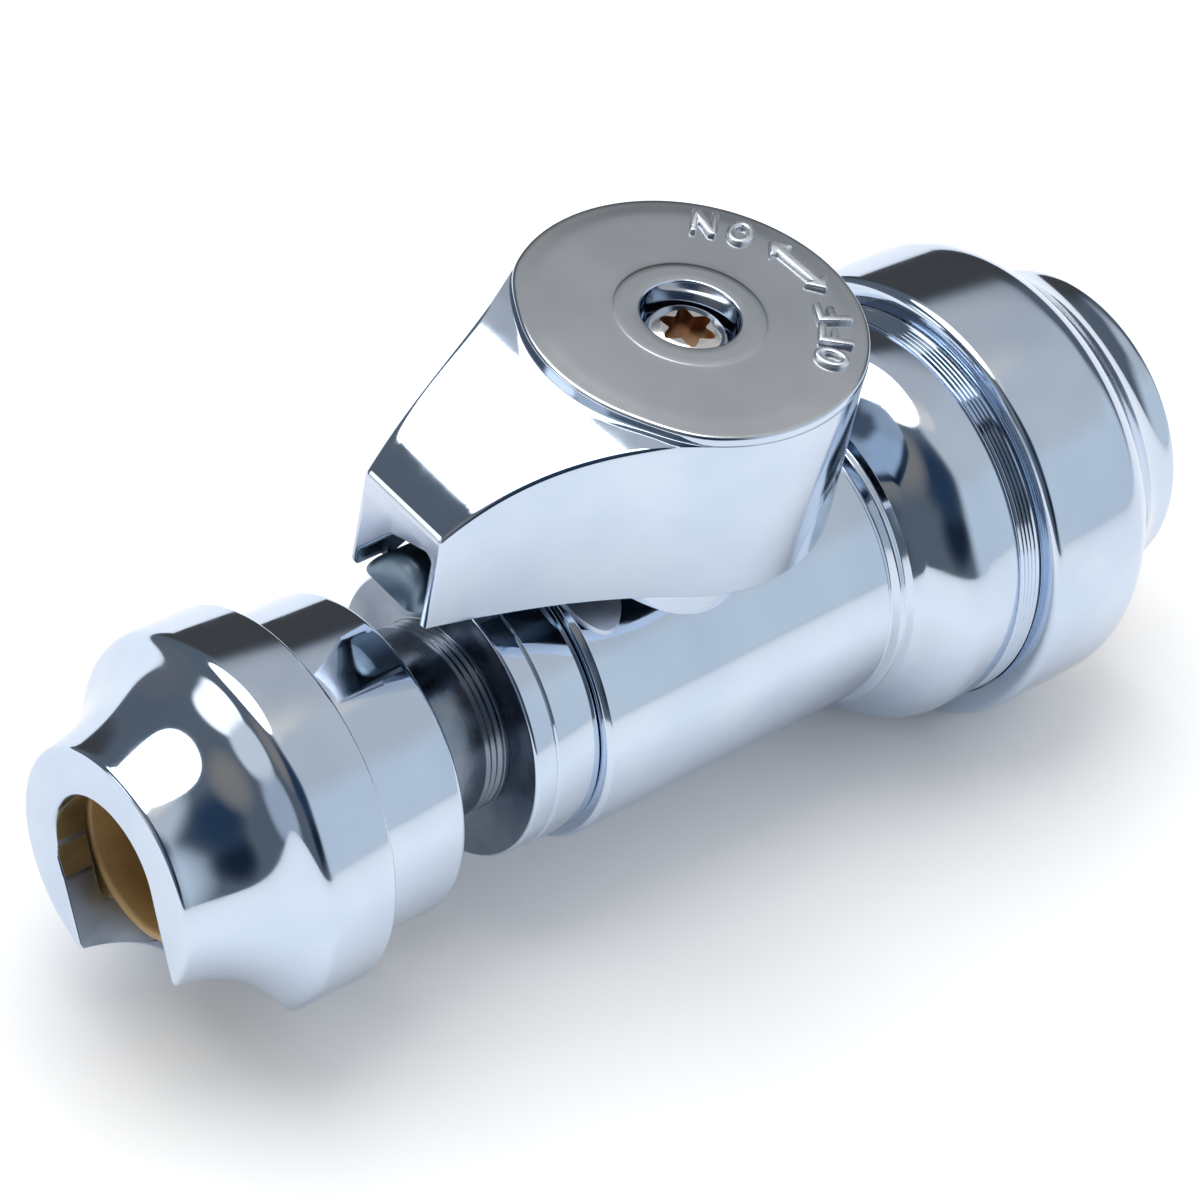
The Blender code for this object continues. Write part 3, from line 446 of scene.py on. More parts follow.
def body():
    bulge = eased((15.8, 11.35), (19.6, BULGE_R), ((0.316, 0.6), (0.632, 1.0)), 20)
    outline = rounded([
        (BODY_START, SPIGOT_R + FIT, 0.15),
        (BODY_START, BODY_R - 0.25, 0.1),
        (BODY_START + 0.35, BODY_R, 0.2),
        (STEP_X - 0.3, BODY_R, 0.08),
        (STEP_X - 0.15, BODY_R - 0.18, 0.06),
        (STEP_X + 0.05, BODY_R - 0.14, 0.1),
        (STEP_X + 0.35, BODY_R + 0.38, 0.16),
        (STEP_X + 0.6, BODY_R + 0.4, 0.08),
        (STEP_X + 0.75, BODY_R + 0.16, 0.08),
        (STEP_X + 0.95, BODY_R + 0.2, 0.1),
        (STEP_X + 1.25, BODY_R + 0.62, 0.2),
        *plain(bulge),
        (22.05, BULGE_R, 0.25),
        (22.05, OUTLET.shell_r, 0.05),
        (OUTLET.shell_end, OUTLET.shell_r, 0.2),
        (OUTLET.shell_end, OUTLET.seal_r, 0.2),
        (OUTLET.seal_start, OUTLET.seal_r, 0.1),
        (OUTLET.seal_start, OUTLET.socket_r, 0.2),
        (OUTLET.stop, OUTLET.socket_r, 0.15),
        (OUTLET.stop, WATERWAY_R, 0.2),
        (CHAMBER_END, WATERWAY_R, 0.1),
        (CHAMBER_END, CHAMBER_R, 0.1),
        (-PILOT_END + FIT, CHAMBER_R, 0.1),
        (-PILOT_END + FIT, SPIGOT_R + FIT, 0.1),
    ])
    made = lathe("body_casting", outline, (CAST_CHROME, SATIN_CHROME))
    tower = rounded([
        (TOWER_LOW, TOWER_R, 0.0),
        (TOWER_TOP, TOWER_R, 0.4),
        (TOWER_TOP, TOWER_CORE_R, 0.0),
        (TOWER_LOW, TOWER_CORE_R, 0.0),
    ])
    combine(made, lathe("tower", tower, (), "Z", faces=96), "UNION")
    lug = block("lug", (TOWER_R - 1.0, 9.1), (-1.0, 1.0), (13.8, TOWER_TOP - 0.1), 45.0)
    combine(made, lug, "UNION")
    pad = prism("pad", ellipse(-7.6, -2.6, 2.1, 3.4, 96), 6.0, 12.0)
    skin = [(-12.7, BODY_R - 2.1), (-2.5, BODY_R - 2.1), (-2.5, BODY_R + FIT), (-12.7, BODY_R + FIT)]
    combine(pad, lathe("skin", skin, ()), "INTERSECT")
    combine(made, pad, "UNION", 1)
    combine(made, post("pocket", 4.0, 8.8, 4.7), "DIFFERENCE")
    combine(made, post("bore", 8.0, 18.0, 3.4), "DIFFERENCE")
    smooth(made)
    return placed_on(made, "valve_body", "body")


body()


# Turned inlet connector, with fine lines on its neck

def connector():
    end = INLET
    corners = [
        (CHAMBER_END, WATERWAY_R, 0.1),
        (CHAMBER_END, PILOT_R, 0.1),
        (PILOT_END, PILOT_R, 0.0),
        (PILOT_END, SPIGOT_R, 0.1),
        (-BODY_START + 0.06, SPIGOT_R, 0.05),
        (-BODY_START + 0.06, COLLAR_R, 0.2),
        (COLLAR_LINE - 0.12, COLLAR_R, 0.04),
        (COLLAR_LINE, COLLAR_R - 0.15, 0.03),
        (COLLAR_LINE + 0.12, COLLAR_R - 0.075, 0.04),
        (COLLAR_END, COLLAR_R - 0.12, 0.25),
        (COLLAR_END - 0.25, NECK_R, 0.1),
    ]
    for i in range(3):
        start = COLLAR_END + 0.45 * i
        corners += [(start, NECK_R, 0.06), (start + 0.225, NECK_R - 0.2, 0.06)]
    corners += [
        (COLLAR_END + 1.35, NECK_R, 0.06),
        (end.cap_back + FIT, NECK_R, 0.1),
        (end.cap_back + FIT, end.shell_r, 0.1),
        (end.shell_end, end.shell_r, 0.2),
        (end.shell_end, end.seal_r, 0.2),
        (end.seal_start, end.seal_r, 0.1),
        (end.seal_start, end.socket_r, 0.2),
        (end.stop, end.socket_r, 0.15),
        (end.stop, WATERWAY_R, 0.2),
    ]
    made = lathe("connector_turning", rounded(corners, 4), (TURNED_CHROME, NECK_SHADE_CHROME), side=end.side)
    # Faces of the neck take the darker chrome, painted shade in the groove between collar and cap.
    for face in made.data.polygons:
        middle = face.center / MM
        on_neck = COLLAR_END - 0.3 < -middle.x < end.cap_back + FIT
        if on_neck and NECK_R - 0.5 < math.hypot(middle.y, middle.z) < COLLAR_R - 0.25:
            face.material_index = 1
    return placed_on(made, "valve_body", "inlet_connector")


connector()


# Retaining caps

def retaining_cap(name, end, node, edge):
    ledge = end.shell_end + 2 * FIT + 0.3
    outline = rounded([
        (end.cap_back, end.shell_r + FIT, 0.1),
        (end.cap_back, end.cap_r, edge),
        (end.cap_end, end.cap_r, edge),
        (end.cap_end, end.sleeve_r + FIT, 0.1),
        (end.lip_start, end.sleeve_r + FIT, 0.1),
        (end.lip_start, end.cavity_r, 0.05),
        (ledge, end.cavity_r, 0.05),
        (ledge, end.shell_r + FIT, 0.05),
    ])
    made = lathe(name, outline, (TURNED_CHROME,), side=end.side)
    return placed_on(made, "valve_body", node)


retaining_cap("inlet_cap_turning", INLET, "inlet_retaining_cap", 0.5)


def cap_ring_profile():
    """The outlet cap's outline, with five fine rings cut in front of the cover."""
    end = OUTLET
    ledge = end.shell_end + 2 * FIT + 0.3
    corners = [(end.cap_back, end.shell_r + FIT, 0.1)]
    for i in range(5):
        start = end.cap_back + 0.32 * i
        corners += [(start, end.cap_r, 0.04), (start + 0.16, end.cap_r - 0.3, 0.03)]
    corners += [
        (end.cap_back + 1.6, end.cap_r, 0.05),
        (end.cap_end, end.cap_r, 0.4),
        (end.cap_end, end.sleeve_r + FIT, 0.1),
        (end.lip_start, end.sleeve_r + FIT, 0.1),
        (end.lip_start, end.cavity_r, 0.05),
        (ledge, end.cavity_r, 0.05),
        (ledge, end.shell_r + FIT, 0.05),
    ]
    return rounded(corners, 3)


outlet_cap = lathe("outlet_cap_turning", cap_ring_profile(), (TURNED_CHROME,))
placed_on(outlet_cap, "valve_body", "outlet_retaining_cap")


# Release collars, moulded in tan acetal

def release_collar(name, end, body_name, node):
    head = end.catch_end + FIT
    run = (Vector(end.cone[1]) - Vector(end.cone[0])).normalized()
    inward = Vector((run.y, -run.x)) * FIT
    cone = [tuple(Vector(p) + inward) for p in end.cone]
    tip = end.lip_start - end.sleeve_reach
    front = end.step - FIT
    flange = end.lip_start - FIT
    outline = rounded([
        (tip, end.socket_r + SLIDE, 0.1),
        (tip, end.sleeve_r, 0.4),
        (flange - end.flange_thick, end.sleeve_r, 0.1),
        (flange - end.flange_thick, end.cavity_r - FIT, 0.15),
        (flange, end.cavity_r - FIT, 0.15),
        (flange, end.sleeve_r, 0.1),
        (head, end.sleeve_r, 0.1),
        (head, cone[0][1], 0.15),
        (*cone[0], 0.2),
        (*cone[1], 0.2),
        (cone[1][0] + 0.17, end.throat_r - FIT, 0.2),
        (front, end.throat_r - FIT, 0.2),
        (front, end.socket_r + SLIDE, 0.3),
    ])
    made = lathe(name, outline, (COLLAR_ACETAL,), side=end.side)
    return placed_on(made, body_name, node)


release_collar("inlet_collar_moulding", INLET, "inlet_release", "inlet_release_collar")
release_collar("outlet_collar_moulding", OUTLET, "outlet_release", "outlet_release_collar")


# Slotted release covers

def cover_outline(end):
    room = end.cap_r + FIT
    back_edge = end.cap_end - end.cover_overlap
    corner = (end.catch_start + end.shoulder_back, end.cover_r - end.shoulder_drop)
    rim = (end.front - end.rim_length, end.rim_r)
    shoulder = eased(corner, rim, end.soft_shoulder, 36)
    lip = end.cap_r + 0.08
    corners = [(back_edge, lip, 0.05), (back_edge, end.cover_r, 0.6 if end.shoulder_drop else 0.25)]
    if end.shoulder_drop:
        flat = [(corner[0] - 1.9, end.cover_r), (corner[0] - 0.9, end.cover_r)]
        corners += plain(curve((*flat, (corner[0] - 0.42, end.cover_r - 0.12), corner), 8))[:-1]
    corners += plain(shoulder[:-1])
    corners += [
        (*rim, 0.0),
        (end.front, end.rim_r - 0.1, 0.75),
        (end.front, end.bore_r, 0.22),
        (end.step, end.bore_r, 0.12),
        (end.step, end.throat_r, 0.1),
        (*end.cone[1], 0.0),
        (*end.cone[0], 0.1),
        (end.catch_end, end.cone[0][1], 0.1),
        (end.catch_end, end.catch_r, 0.2),
        (end.catch_start, end.catch_r, 0.2),
        (end.catch_start, room, 0.1),
        (back_edge + 0.9, room, 0.05),
        (back_edge + 0.7, lip, 0.05),
    ]
    return rounded(corners)


def outward(outline):
    """A unit vector out of a closed outline at each of its points."""
    area = sum(a[0] * b[1] - b[0] * a[1] for a, b in zip(outline, outline[1:] + outline[:1]))
    way = 1.0 if area > 0 else -1.0
    normals = []
    for i in range(len(outline)):
        before = (Vector(outline[i]) - Vector(outline[i - 1])).normalized()
        after = (Vector(outline[(i + 1) % len(outline)]) - Vector(outline[i])).normalized()
        along = (before + after).normalized()
        normals.append(Vector((along.y, -along.x)) * way)
    return normals


def release_cover(name, end, body_name, node):
    """A bell open along one slot. Its columns start and end at the slot's walls, over a rounded edge."""
    outline = cover_outline(end)
    normals = outward(outline)
    half = end.bore_r - SLIDE
    edge = 0.22
    slot = math.radians(end.slot_angle)
    out = Vector((math.cos(slot), math.sin(slot)))
    across = Vector((-out.y, out.x))
    columns = []

    def wall_column(hand, lean):
        inset = edge * (1.0 - math.sin(lean))
        sink = edge * (1.0 - math.cos(lean))
        column = []
        for (along, radius), normal in zip(outline, normals):
            along -= normal.x * sink
            radius -= normal.y * sink
            sideways = min(half + inset, radius)
            reach = math.sqrt(max(radius**2 - sideways**2, 0.0))
            place = out * reach + across * (hand * sideways)
            column.append((end.side * along, place.x, place.y))
        return column

    def middle_column(share):
        column = []
        for along, radius in outline:
            start = math.asin(min((half + edge) / radius, 1.0))
            angle = slot + start + share * (2 * math.pi - 2 * start)
            column.append((end.side * along, radius * math.cos(angle), radius * math.sin(angle)))
        return column

    quarter = math.pi / 2
    for k in range(5):
        columns.append(wall_column(1, quarter * (1 - k / 5)))
    for k in range(ROUND + 1):
        columns.append(middle_column(k / ROUND))
    for k in range(5):
        columns.append(wall_column(-1, quarter * (k + 1) / 5))
    rows = len(outline)
    points = [p for column in columns for p in column]
    wall = tessellate_polygon([[Vector((*p, 0.0)) for p in outline]])
    last = (len(columns) - 1) * rows
    faces = [tuple(corners) for corners in wall] + [tuple(last + i for i in corners) for corners in wall]
    for c in range(len(columns) - 1):
        for r in range(rows):
            s = (r + 1) % rows
            faces.append((c * rows + r, c * rows + s, (c + 1) * rows + s, (c + 1) * rows + r))
    made = object_of(name, points, faces, (TURNED_CHROME, SAWN_CHROME))
    sideways = Vector((0.0, *across))
    for face in made.data.polygons:
        if abs(face.normal.dot(sideways)) > 0.98 and abs(face.center.dot(sideways)) < (half + 0.02) * MM:
            face.material_index = 1
    return placed_on(made, body_name, node)


release_cover("inlet_cover_bell", INLET, "inlet_release", "inlet_release_cover")
release_cover("outlet_cover_bell", OUTLET, "outlet_release", "outlet_release_cover")


# Handle: a hub and a sloping nose, a buffed disc on top, a hollow underneath

HANDLE_BOTTOM = 13.2
HUB_R = 10.95
TIP_X = -20.9
TIP_HALF = 3.5
HUB_TOP = 25.2
DISC_R = 10.89
DISC_TOP = 25.95
DISC_EDGE = 0.24
WALL = 1.5
ROOF = 1.7
NOSE_SIDE = ((TIP_X, TIP_HALF), (-16.5, 4.65), (-11.5, 6.0), (-6.0, 9.16))
NOSE_TOP = ((TIP_X, 20.1), (-18.2, 22.75), (-14.6, 24.6), (-8.5, HUB_TOP))
FRONT_ROUND = 0.3
SIDE_ROUND = 0.22
LAND_R = 4.7  # the middle of the disc stands a little proud of the rest
LAND_RISE = 0.03
DISC_RINGS = (10.4, 10.1, 9.8, 9.5, 9.2, 8.6, 8.0, 7.0, 6.0, 5.2, LAND_R + 0.1)
COUNTERBORE_R = 3.02
COUNTERBORE_FLOOR = 23.0
top_line = curve(NOSE_TOP, 200)


def blend(value, low, high):
    """A soft step from 0 to 1."""
    t = min(max((value - low) / (high - low), 0.0), 1.0)
    return t * t * (3.0 - 2.0 * t)


def top_height(x):
    """The height of the nose's sloping top."""
    if x >= NOSE_TOP[-1][0]:
        return HUB_TOP
    for (x0, z0), (x1, z1) in zip(top_line, top_line[1:]):
        if x <= x1:
            return z0 + (z1 - z0) * (x - x0) / (x1 - x0)


def handle_outline():
    side = curve(NOSE_SIDE, 30)
    join = math.atan2(NOSE_SIDE[3][1], NOSE_SIDE[3][0])
    turns = [join * (1 - k / 80) for k in range(161)]
    hub = [(HUB_R * math.cos(turn), HUB_R * math.sin(turn)) for turn in turns]
    front = [(TIP_X, TIP_HALF * (1 - k / 8)) for k in range(15, 0, -1)]
    ahead = [(*side[0], 0.3), *plain(side[1:])]
    behind = [*plain([(x, -y) for x, y in side[:0:-1]]), (side[0][0], -side[0][1], 0.3)]
    return rounded(ahead + plain(hub[1:-1]) + behind + plain(front))


def disc_edge(x, y):
    """The disc's radius, a little smaller over the nose."""
    return DISC_R - 0.5 * blend(-x / math.hypot(x, y), 0.55, 0.9)


def disc_height(r):
    """The disc's slightly crowned top, which falls away towards its buffed edge."""
    return DISC_TOP - 0.03 - 0.05 * (r / DISC_R) ** 2 - 0.05 * blend(r, DISC_R - 1.8, DISC_R)


def handle_shell():
    """The closed outside of the handle, built in rows from the bottom edge to the counterbore floor."""
    plan = handle_outline()
    inward = [-n for n in outward(plan)]
    rows = []
    shifts = []
    drops = []
    for (x, y), normal in zip(plan, inward):
        side_round = SIDE_ROUND * blend(-x, 6.0, 12.0)
        tip = 1.0 - blend(x, TIP_X, TIP_X + 3.0)
        at_tip = Vector((FRONT_ROUND, -SIDE_ROUND * y / TIP_HALF))
        shifts.append(at_tip * tip + normal * side_round * (1.0 - tip))
        drops.append(FRONT_ROUND * tip + side_round * (1.0 - tip))
    for sink, lift in ((0.15, 0.0), (0.05, 0.04), (0.0, 0.15)):
        z = HANDLE_BOTTOM + lift
        rows.append([(x + n.x * sink, y + n.y * sink, z) for (x, y), n in zip(plan, inward)])
    rows.append([(x, y, top_height(x) - 1.0) for x, y in plan])
    for k in range(9):
        lean = math.pi / 2 * k / 8
        row = []
        for (x, y), shift, drop in zip(plan, shifts, drops):
            sink = 1.0 - math.cos(lean)
            here = (x + shift.x * sink, y + shift.y * sink)
            spaced = max(0.3 - drop, 0.0) * (1.0 - k / 8)
            row.append((*here, top_height(here[0]) - drop * (1.0 - math.sin(lean)) - spaced))
        rows.append(row)
    last = rows[-1]
    for away, rise in nose_steps():
        row = []
        for x, y, _ in last:
            r = math.hypot(x, y)
            edge = disc_edge(x, y)
            cove = min(0.08, 0.6 * (r - edge))
            to = (edge + (r - edge - cove) * away[0] + cove * away[1]) / r
            row.append((x * to, y * to, top_height(x * to) + cove * rise))
        rows.append(row)
    top = disc_height(DISC_R - DISC_EDGE)
    rings = []
    for k in range(7):
        lean = math.pi / 2 * k / 6
        rings.append((DISC_R - DISC_EDGE * (1 - math.cos(lean)), top - DISC_EDGE * (1 - math.sin(lean))))
    rings += [(r, disc_height(r)) for r in DISC_RINGS]
    rings += [(LAND_R - 0.05 * k, disc_height(LAND_R) + LAND_RISE * blend(k, -1, 4)) for k in range(4)]
    rings += [(4.2, disc_height(4.2) + LAND_RISE), (3.7, disc_height(3.7) + LAND_RISE)]
    for k in range(7):
        lean = math.pi / 2 * k / 6
        r = COUNTERBORE_R + 0.16 * (1 - math.sin(lean))
        rings.append((r, disc_height(r) + LAND_RISE - 0.16 * (1 - math.cos(lean))))
    floor_z = COUNTERBORE_FLOOR
    rings += [(COUNTERBORE_R, floor_z + 0.15), (COUNTERBORE_R - 0.15, floor_z), (1.2, floor_z)]
    for r, z in rings:
        row = []
        for x, y, _ in last:
            to = (r - (DISC_R - disc_edge(x, y)) * blend(r, 8.0, DISC_R - DISC_EDGE)) / math.hypot(x, y)
            row.append((x * to, y * to, z))
        rows.append(row)
    count = len(plan)
    points = [p for row in rows for p in row]
    faces = [tuple(range(count)), tuple(range((len(rows) - 1) * count, len(rows) * count))]
    for r in range(len(rows) - 1):
        for i in range(count):
            j = (i + 1) % count
            faces.append((r * count + i, r * count + j, (r + 1) * count + j, (r + 1) * count + i))
    return object_of("handle_casting", points, faces, (CAST_CHROME, HOLLOW_SHADE_CHROME, DISC_CHROME, SATIN_CHROME))


def nose_steps():
    """Rows across the nose's top.

    Each has its shares of the plain run and of the small cove against the disc, and the cove's rise.
    """
    run = [((1.0 - k / 12, 1.0), 0.0) for k in range(1, 13)]
    cove = []
    for k in range(1, 6):
        lean = math.pi / 2 * k / 5
        cove.append(((0.0, 1.0 - math.sin(lean)), 1.0 - math.cos(lean)))
    return run + cove


def under_plan(inset):
    side = []
    for x, half in curve(NOSE_SIDE, 12)[:-1]:
        side.append((max(x, TIP_X + inset), half - inset))
    join = math.atan2(NOSE_SIDE[3][1], NOSE_SIDE[3][0])
    r = HUB_R - inset
    turns = [join * (1 - k / 30) for k in range(61)]
    hub = [(r * math.cos(turn), r * math.sin(turn)) for turn in turns]
    return side + hub + [(x, -half) for x, half in reversed(side)]


def handle_hollow():
    made = prism("hollow", under_plan(WALL), 10.4, 28.05)
    line = [(x, z - ROOF) for x, z in curve(NOSE_TOP, 12)]
    roof = [(-23.9, 17.1 - ROOF), *line, (14.0, HUB_TOP - ROOF), (14.0, 32.0), (-23.9, 32.0)]
    combine(made, prism("roof", roof, -14.0, 14.0, plane="XZ"), "DIFFERENCE")
    combine(made, post("boss", 16.3, 29.0, 4.4), "DIFFERENCE")
    combine(made, block("web", (-16.5, -3.4), (-0.6, 0.6), (15.8, 29.0)), "DIFFERENCE")
    for angle in (29.0, 151.0):
        combine(made, block("stop", (7.4, HUB_R), (-0.9, 0.9), (13.6, 29.0), angle), "DIFFERENCE")
    return made


WINDOW_TOP = ((2.95, 14.3), (1.8, 15.8), (0.5, 17.5), (-0.9, 18.0), (-2.5, 18.5), (-2.95, 18.2))
WINDOW_BOTTOM = 12.0  # below the handle, so the opening cuts through its bottom edge
WINDOW_FLARE = ((-3.0, 0.22), (-0.001, 0.22), (0.06, 0.1), (0.22, 0.0), (1.9, 0.0))  # depth and widening
ARCH = ((-2.25, HANDLE_BOTTOM), (-2.6, 17.2), (0.6, 16.9), (2.7, HANDLE_BOTTOM))
TONGUE_ROOT = (0.2, HANDLE_BOTTOM)
TONGUE_ROWS = (  # depth from the nose's front, and the share of the arch that is reached there
    (0.12, 0.35), (0.16, 0.5), (0.25, 0.66), (0.4, 0.8), (0.6, 0.9), (0.8, 0.97),
    (0.95, 1.0), (1.2, 1.0), (1.6, 0.99), (3.5, 0.98), (6.0, 0.97),
)


def loft(name, rows, looks=()):
    """Skins rows that have the same number of points and closes both ends."""
    count = len(rows[0])
    points = [p for row in rows for p in row]
    faces = [tuple(range(count)), tuple(range((len(rows) - 1) * count, len(rows) * count))]
    for r in range(len(rows) - 1):
        for i in range(count):
            j = (i + 1) % count
            faces.append((r * count + i, r * count + j, (r + 1) * count + j, (r + 1) * count + i))
    return object_of(name, points, faces, looks)


def window_cutter():
    """The opening in the nose's front, a little flared at the face so that its edge reads as rounded."""
    half = WINDOW_TOP[0][0]
    bottom = [(-half, WINDOW_BOTTOM), (half, WINDOW_BOTTOM)]
    shape = rounded([(y, z, 0.3) for y, z in WINDOW_TOP] + plain(bottom), 4)
    normals = outward(shape)
    rows = []
    for depth, grow in WINDOW_FLARE:
        rows.append([(TIP_X + depth, y + n.x * grow, z + n.y * grow) for (y, z), n in zip(shape, normals)])
    return loft("window", rows)


def tongue():
    """The arched lip that rises behind the opening, its face rolling back from the nose's front."""
    arch = curve(ARCH, 30)
    root_y, root_z = TONGUE_ROOT
    rows = []
    for depth, share in TONGUE_ROWS:
        x = TIP_X + depth
        width = 0.5 + 0.5 * share
        rows.append([(x, root_y + (y - root_y) * width, root_z + (z - root_z) * share) for y, z in arch])
    return loft("tongue", rows)


def handle():
    made = handle_shell()
    for face in made.data.polygons:
        middle = face.center / MM
        if middle.z > DISC_TOP - 0.2 and math.hypot(middle.x, middle.y) > COUNTERBORE_R + 0.1:
            face.material_index = 2
        elif face.normal.x < -0.9 and middle.x < TIP_X + 0.1:
            face.material_index = 3
    # Faces from the hollow, window, tongue, screw way and square hole take look 1, the chrome darkened as
    # painted shade inside the handle.
    combine(made, handle_hollow(), "DIFFERENCE", 1)
    combine(made, window_cutter(), "DIFFERENCE", 1)
    combine(made, tongue(), "UNION", 1)
    combine(made, post("screw_way", 20.1, 23.5, 1.8), "DIFFERENCE", 1)
    combine(made, block("square_hole", (-2.5, 2.5), (-2.5, 2.5), (13.1, 20.6)), "DIFFERENCE", 1)
    smooth(made)
    return placed_on(made, "handle_group", "handle")


handle()


# Raised marks: ON, OFF and a double arrow, their tops towards the centre

MARK_STROKE = 0.5
LETTER_HALF = 0.85
LETTER_TOP = 1.1
MARK_R = 8.75
MARK_LOW = 25.55
MARK_HIGH = 26.2


def letter_n():
    h, t, s = LETTER_HALF, LETTER_TOP, MARK_STROKE
    return [
        (-h, -t), (-h + s, -t), (-h + s, t - 2.2 * s), (h - s, -t), (h, -t),
        (h, t), (h - s, t), (h - s, -t + 2.2 * s), (-h + s, t), (-h, t),
    ]


def letter_f():
    h, t, s = LETTER_HALF, LETTER_TOP, MARK_STROKE
    return [
        (-h, -t), (-h + s, -t), (-h + s, -0.3 * s), (h * 0.6, -0.3 * s), (h * 0.6, 0.7 * s),
        (-h + s, 0.7 * s), (-h + s, t - s), (h, t - s), (h, t), (-h, t),
    ]


def double_arrow():
    half, head, wide, s = 2.7, 1.2, 1.0, MARK_STROKE * 0.7
    return [
        (-half, 0.0), (-half + head, -wide), (-half + head, -s), (half - head, -s), (half - head, -wide),
        (half, 0.0), (half - head, wide), (half - head, s), (-half + head, s), (-half + head, wide),
    ]


def on_disc(points, angle):
    out = Vector((math.cos(math.radians(angle)), math.sin(math.radians(angle))))
    sideways = Vector((-out.y, out.x))
    return [tuple(out * (MARK_R - b) + sideways * a) for a, b in points]


def letter_o(name, angle):
    outer = on_disc(ellipse(0, 0, LETTER_HALF, LETTER_TOP, 48), angle)
    inner = on_disc(ellipse(0, 0, LETTER_HALF - MARK_STROKE, LETTER_TOP - MARK_STROKE, 48), angle)
    rows = ((outer, MARK_LOW), (outer, MARK_HIGH), (inner, MARK_HIGH), (inner, MARK_LOW))
    points = [(a, b, z) for outline, z in rows for a, b in outline]
    faces = []
    for r in range(4):
        s = (r + 1) % 4
        for i in range(48):
            j = (i + 1) % 48
            faces.append((r * 48 + i, r * 48 + j, s * 48 + j, s * 48 + i))
    return object_of(name, points, faces, (MARK_CHROME,))


def marks():
    made = [letter_o("on_o", 28.5), letter_o("off_o", -57.0)]
    flat = {
        "on_n": (letter_n(), 43.5),
        "arrow": (double_arrow(), 0.5),
        "off_f1": (letter_f(), -43.0),
        "off_f2": (letter_f(), -29.5),
    }
    for name, (points, angle) in flat.items():
        made.append(prism(name, on_disc(points, angle), MARK_LOW, MARK_HIGH, (MARK_CHROME,)))
    for mark in made:
        step = mark.modifiers.new("rounding", "BEVEL")
        step.width = 0.19 * MM
        step.segments = 4
        step.limit_method = "ANGLE"
        step.angle_limit = math.radians(60)
        settle(mark)
        smooth(mark, 50)
        placed_on(mark, "handle_group")


marks()


# Handle screw, with a six-lobe recess

def screw():
    outline = rounded([
        (14.5, 1.1, 0.0),
        (14.9, 1.5, 0.1),
        (23.3, 1.5, 0.05),
        (23.3, 2.7, 0.15),
        (24.2, 2.7, 0.35),
        (24.75, 2.25, 0.5),
        (24.9, 1.6, 0.5),
        (24.9, 0.4, 0.0),
        (14.5, 0.4, 0.0),
    ])
    made = lathe("screw_turning", outline, (SCREW_STEEL, RECESS_STEEL), "Z", faces=96)
    combine(made, post("core", 14.55, 24.85, 0.6, 48), "UNION", 0)
    star = []
    for i in range(144):
        angle = 2 * math.pi * i / 144
        radius = 1.45 + 0.3 * math.cos(6 * angle)
        star.append((radius * math.cos(angle), radius * math.sin(angle)))
    combine(made, prism("recess", star, 23.9, 26.0), "DIFFERENCE", 1)
    smooth(made)
    return placed_on(made, "handle_group", "handle_screw")


screw()


# Grab rings: teeth repeated round a ring by one Geometry Nodes tree

def tooth_tree():
    tree = bpy.data.node_groups.new("teeth_round_a_ring", "GeometryNodeTree")
    tree.interface.new_socket("Geometry", in_out="OUTPUT", socket_type="NodeSocketGeometry")
    tree.interface.new_socket("Tooth", in_out="INPUT", socket_type="NodeSocketObject")
    tree.interface.new_socket("Teeth", in_out="INPUT", socket_type="NodeSocketInt")
    tree.interface.new_socket("Steel", in_out="INPUT", socket_type="NodeSocketMaterial")
    given = tree.nodes.new("NodeGroupInput")
    tooth = add(tree, "GeometryNodeObjectInfo", {"Object": given.outputs["Tooth"]})
    spots = add(tree, "GeometryNodeMeshLine", {"Count": given.outputs["Teeth"], "Offset": (0.0, 0.0, 0.0)})
    number = add(tree, "GeometryNodeInputIndex")
    step = add(tree, "ShaderNodeMath", {0: 2 * math.pi, 1: given.outputs["Teeth"]}, operation="DIVIDE")
    swing = add(tree, "ShaderNodeMath", {0: number.outputs[0], 1: step.outputs[0]}, operation="MULTIPLY")
    turn_x = add(tree, "ShaderNodeCombineXYZ", {"X": swing.outputs[0]})
    copies = add(tree, "GeometryNodeInstanceOnPoints", {
        "Points": spots.outputs[0], "Instance": tooth.outputs["Geometry"], "Rotation": turn_x.outputs[0],
    })
    real = add(tree, "GeometryNodeRealizeInstances", {"Geometry": copies.outputs[0]})
    joined = add(tree, "GeometryNodeMergeByDistance", {"Geometry": real.outputs[0], "Distance": 2e-6})
    dressed = {"Geometry": joined.outputs[0], "Material": given.outputs["Steel"]}
    finished = add(tree, "GeometryNodeSetMaterial", dressed)
    result = tree.nodes.new("NodeGroupOutput")
    tree.links.new(finished.outputs[0], result.inputs[0])
    return tree


teeth_round_a_ring = tooth_tree()


WITH_TOOTH = ((0, 1), (1, 2), (2, 3), (3, 4), (4, 5), (5, 0))
RIM_ALONE = ((0, 1), (1, 2), (2, 5), (5, 0))


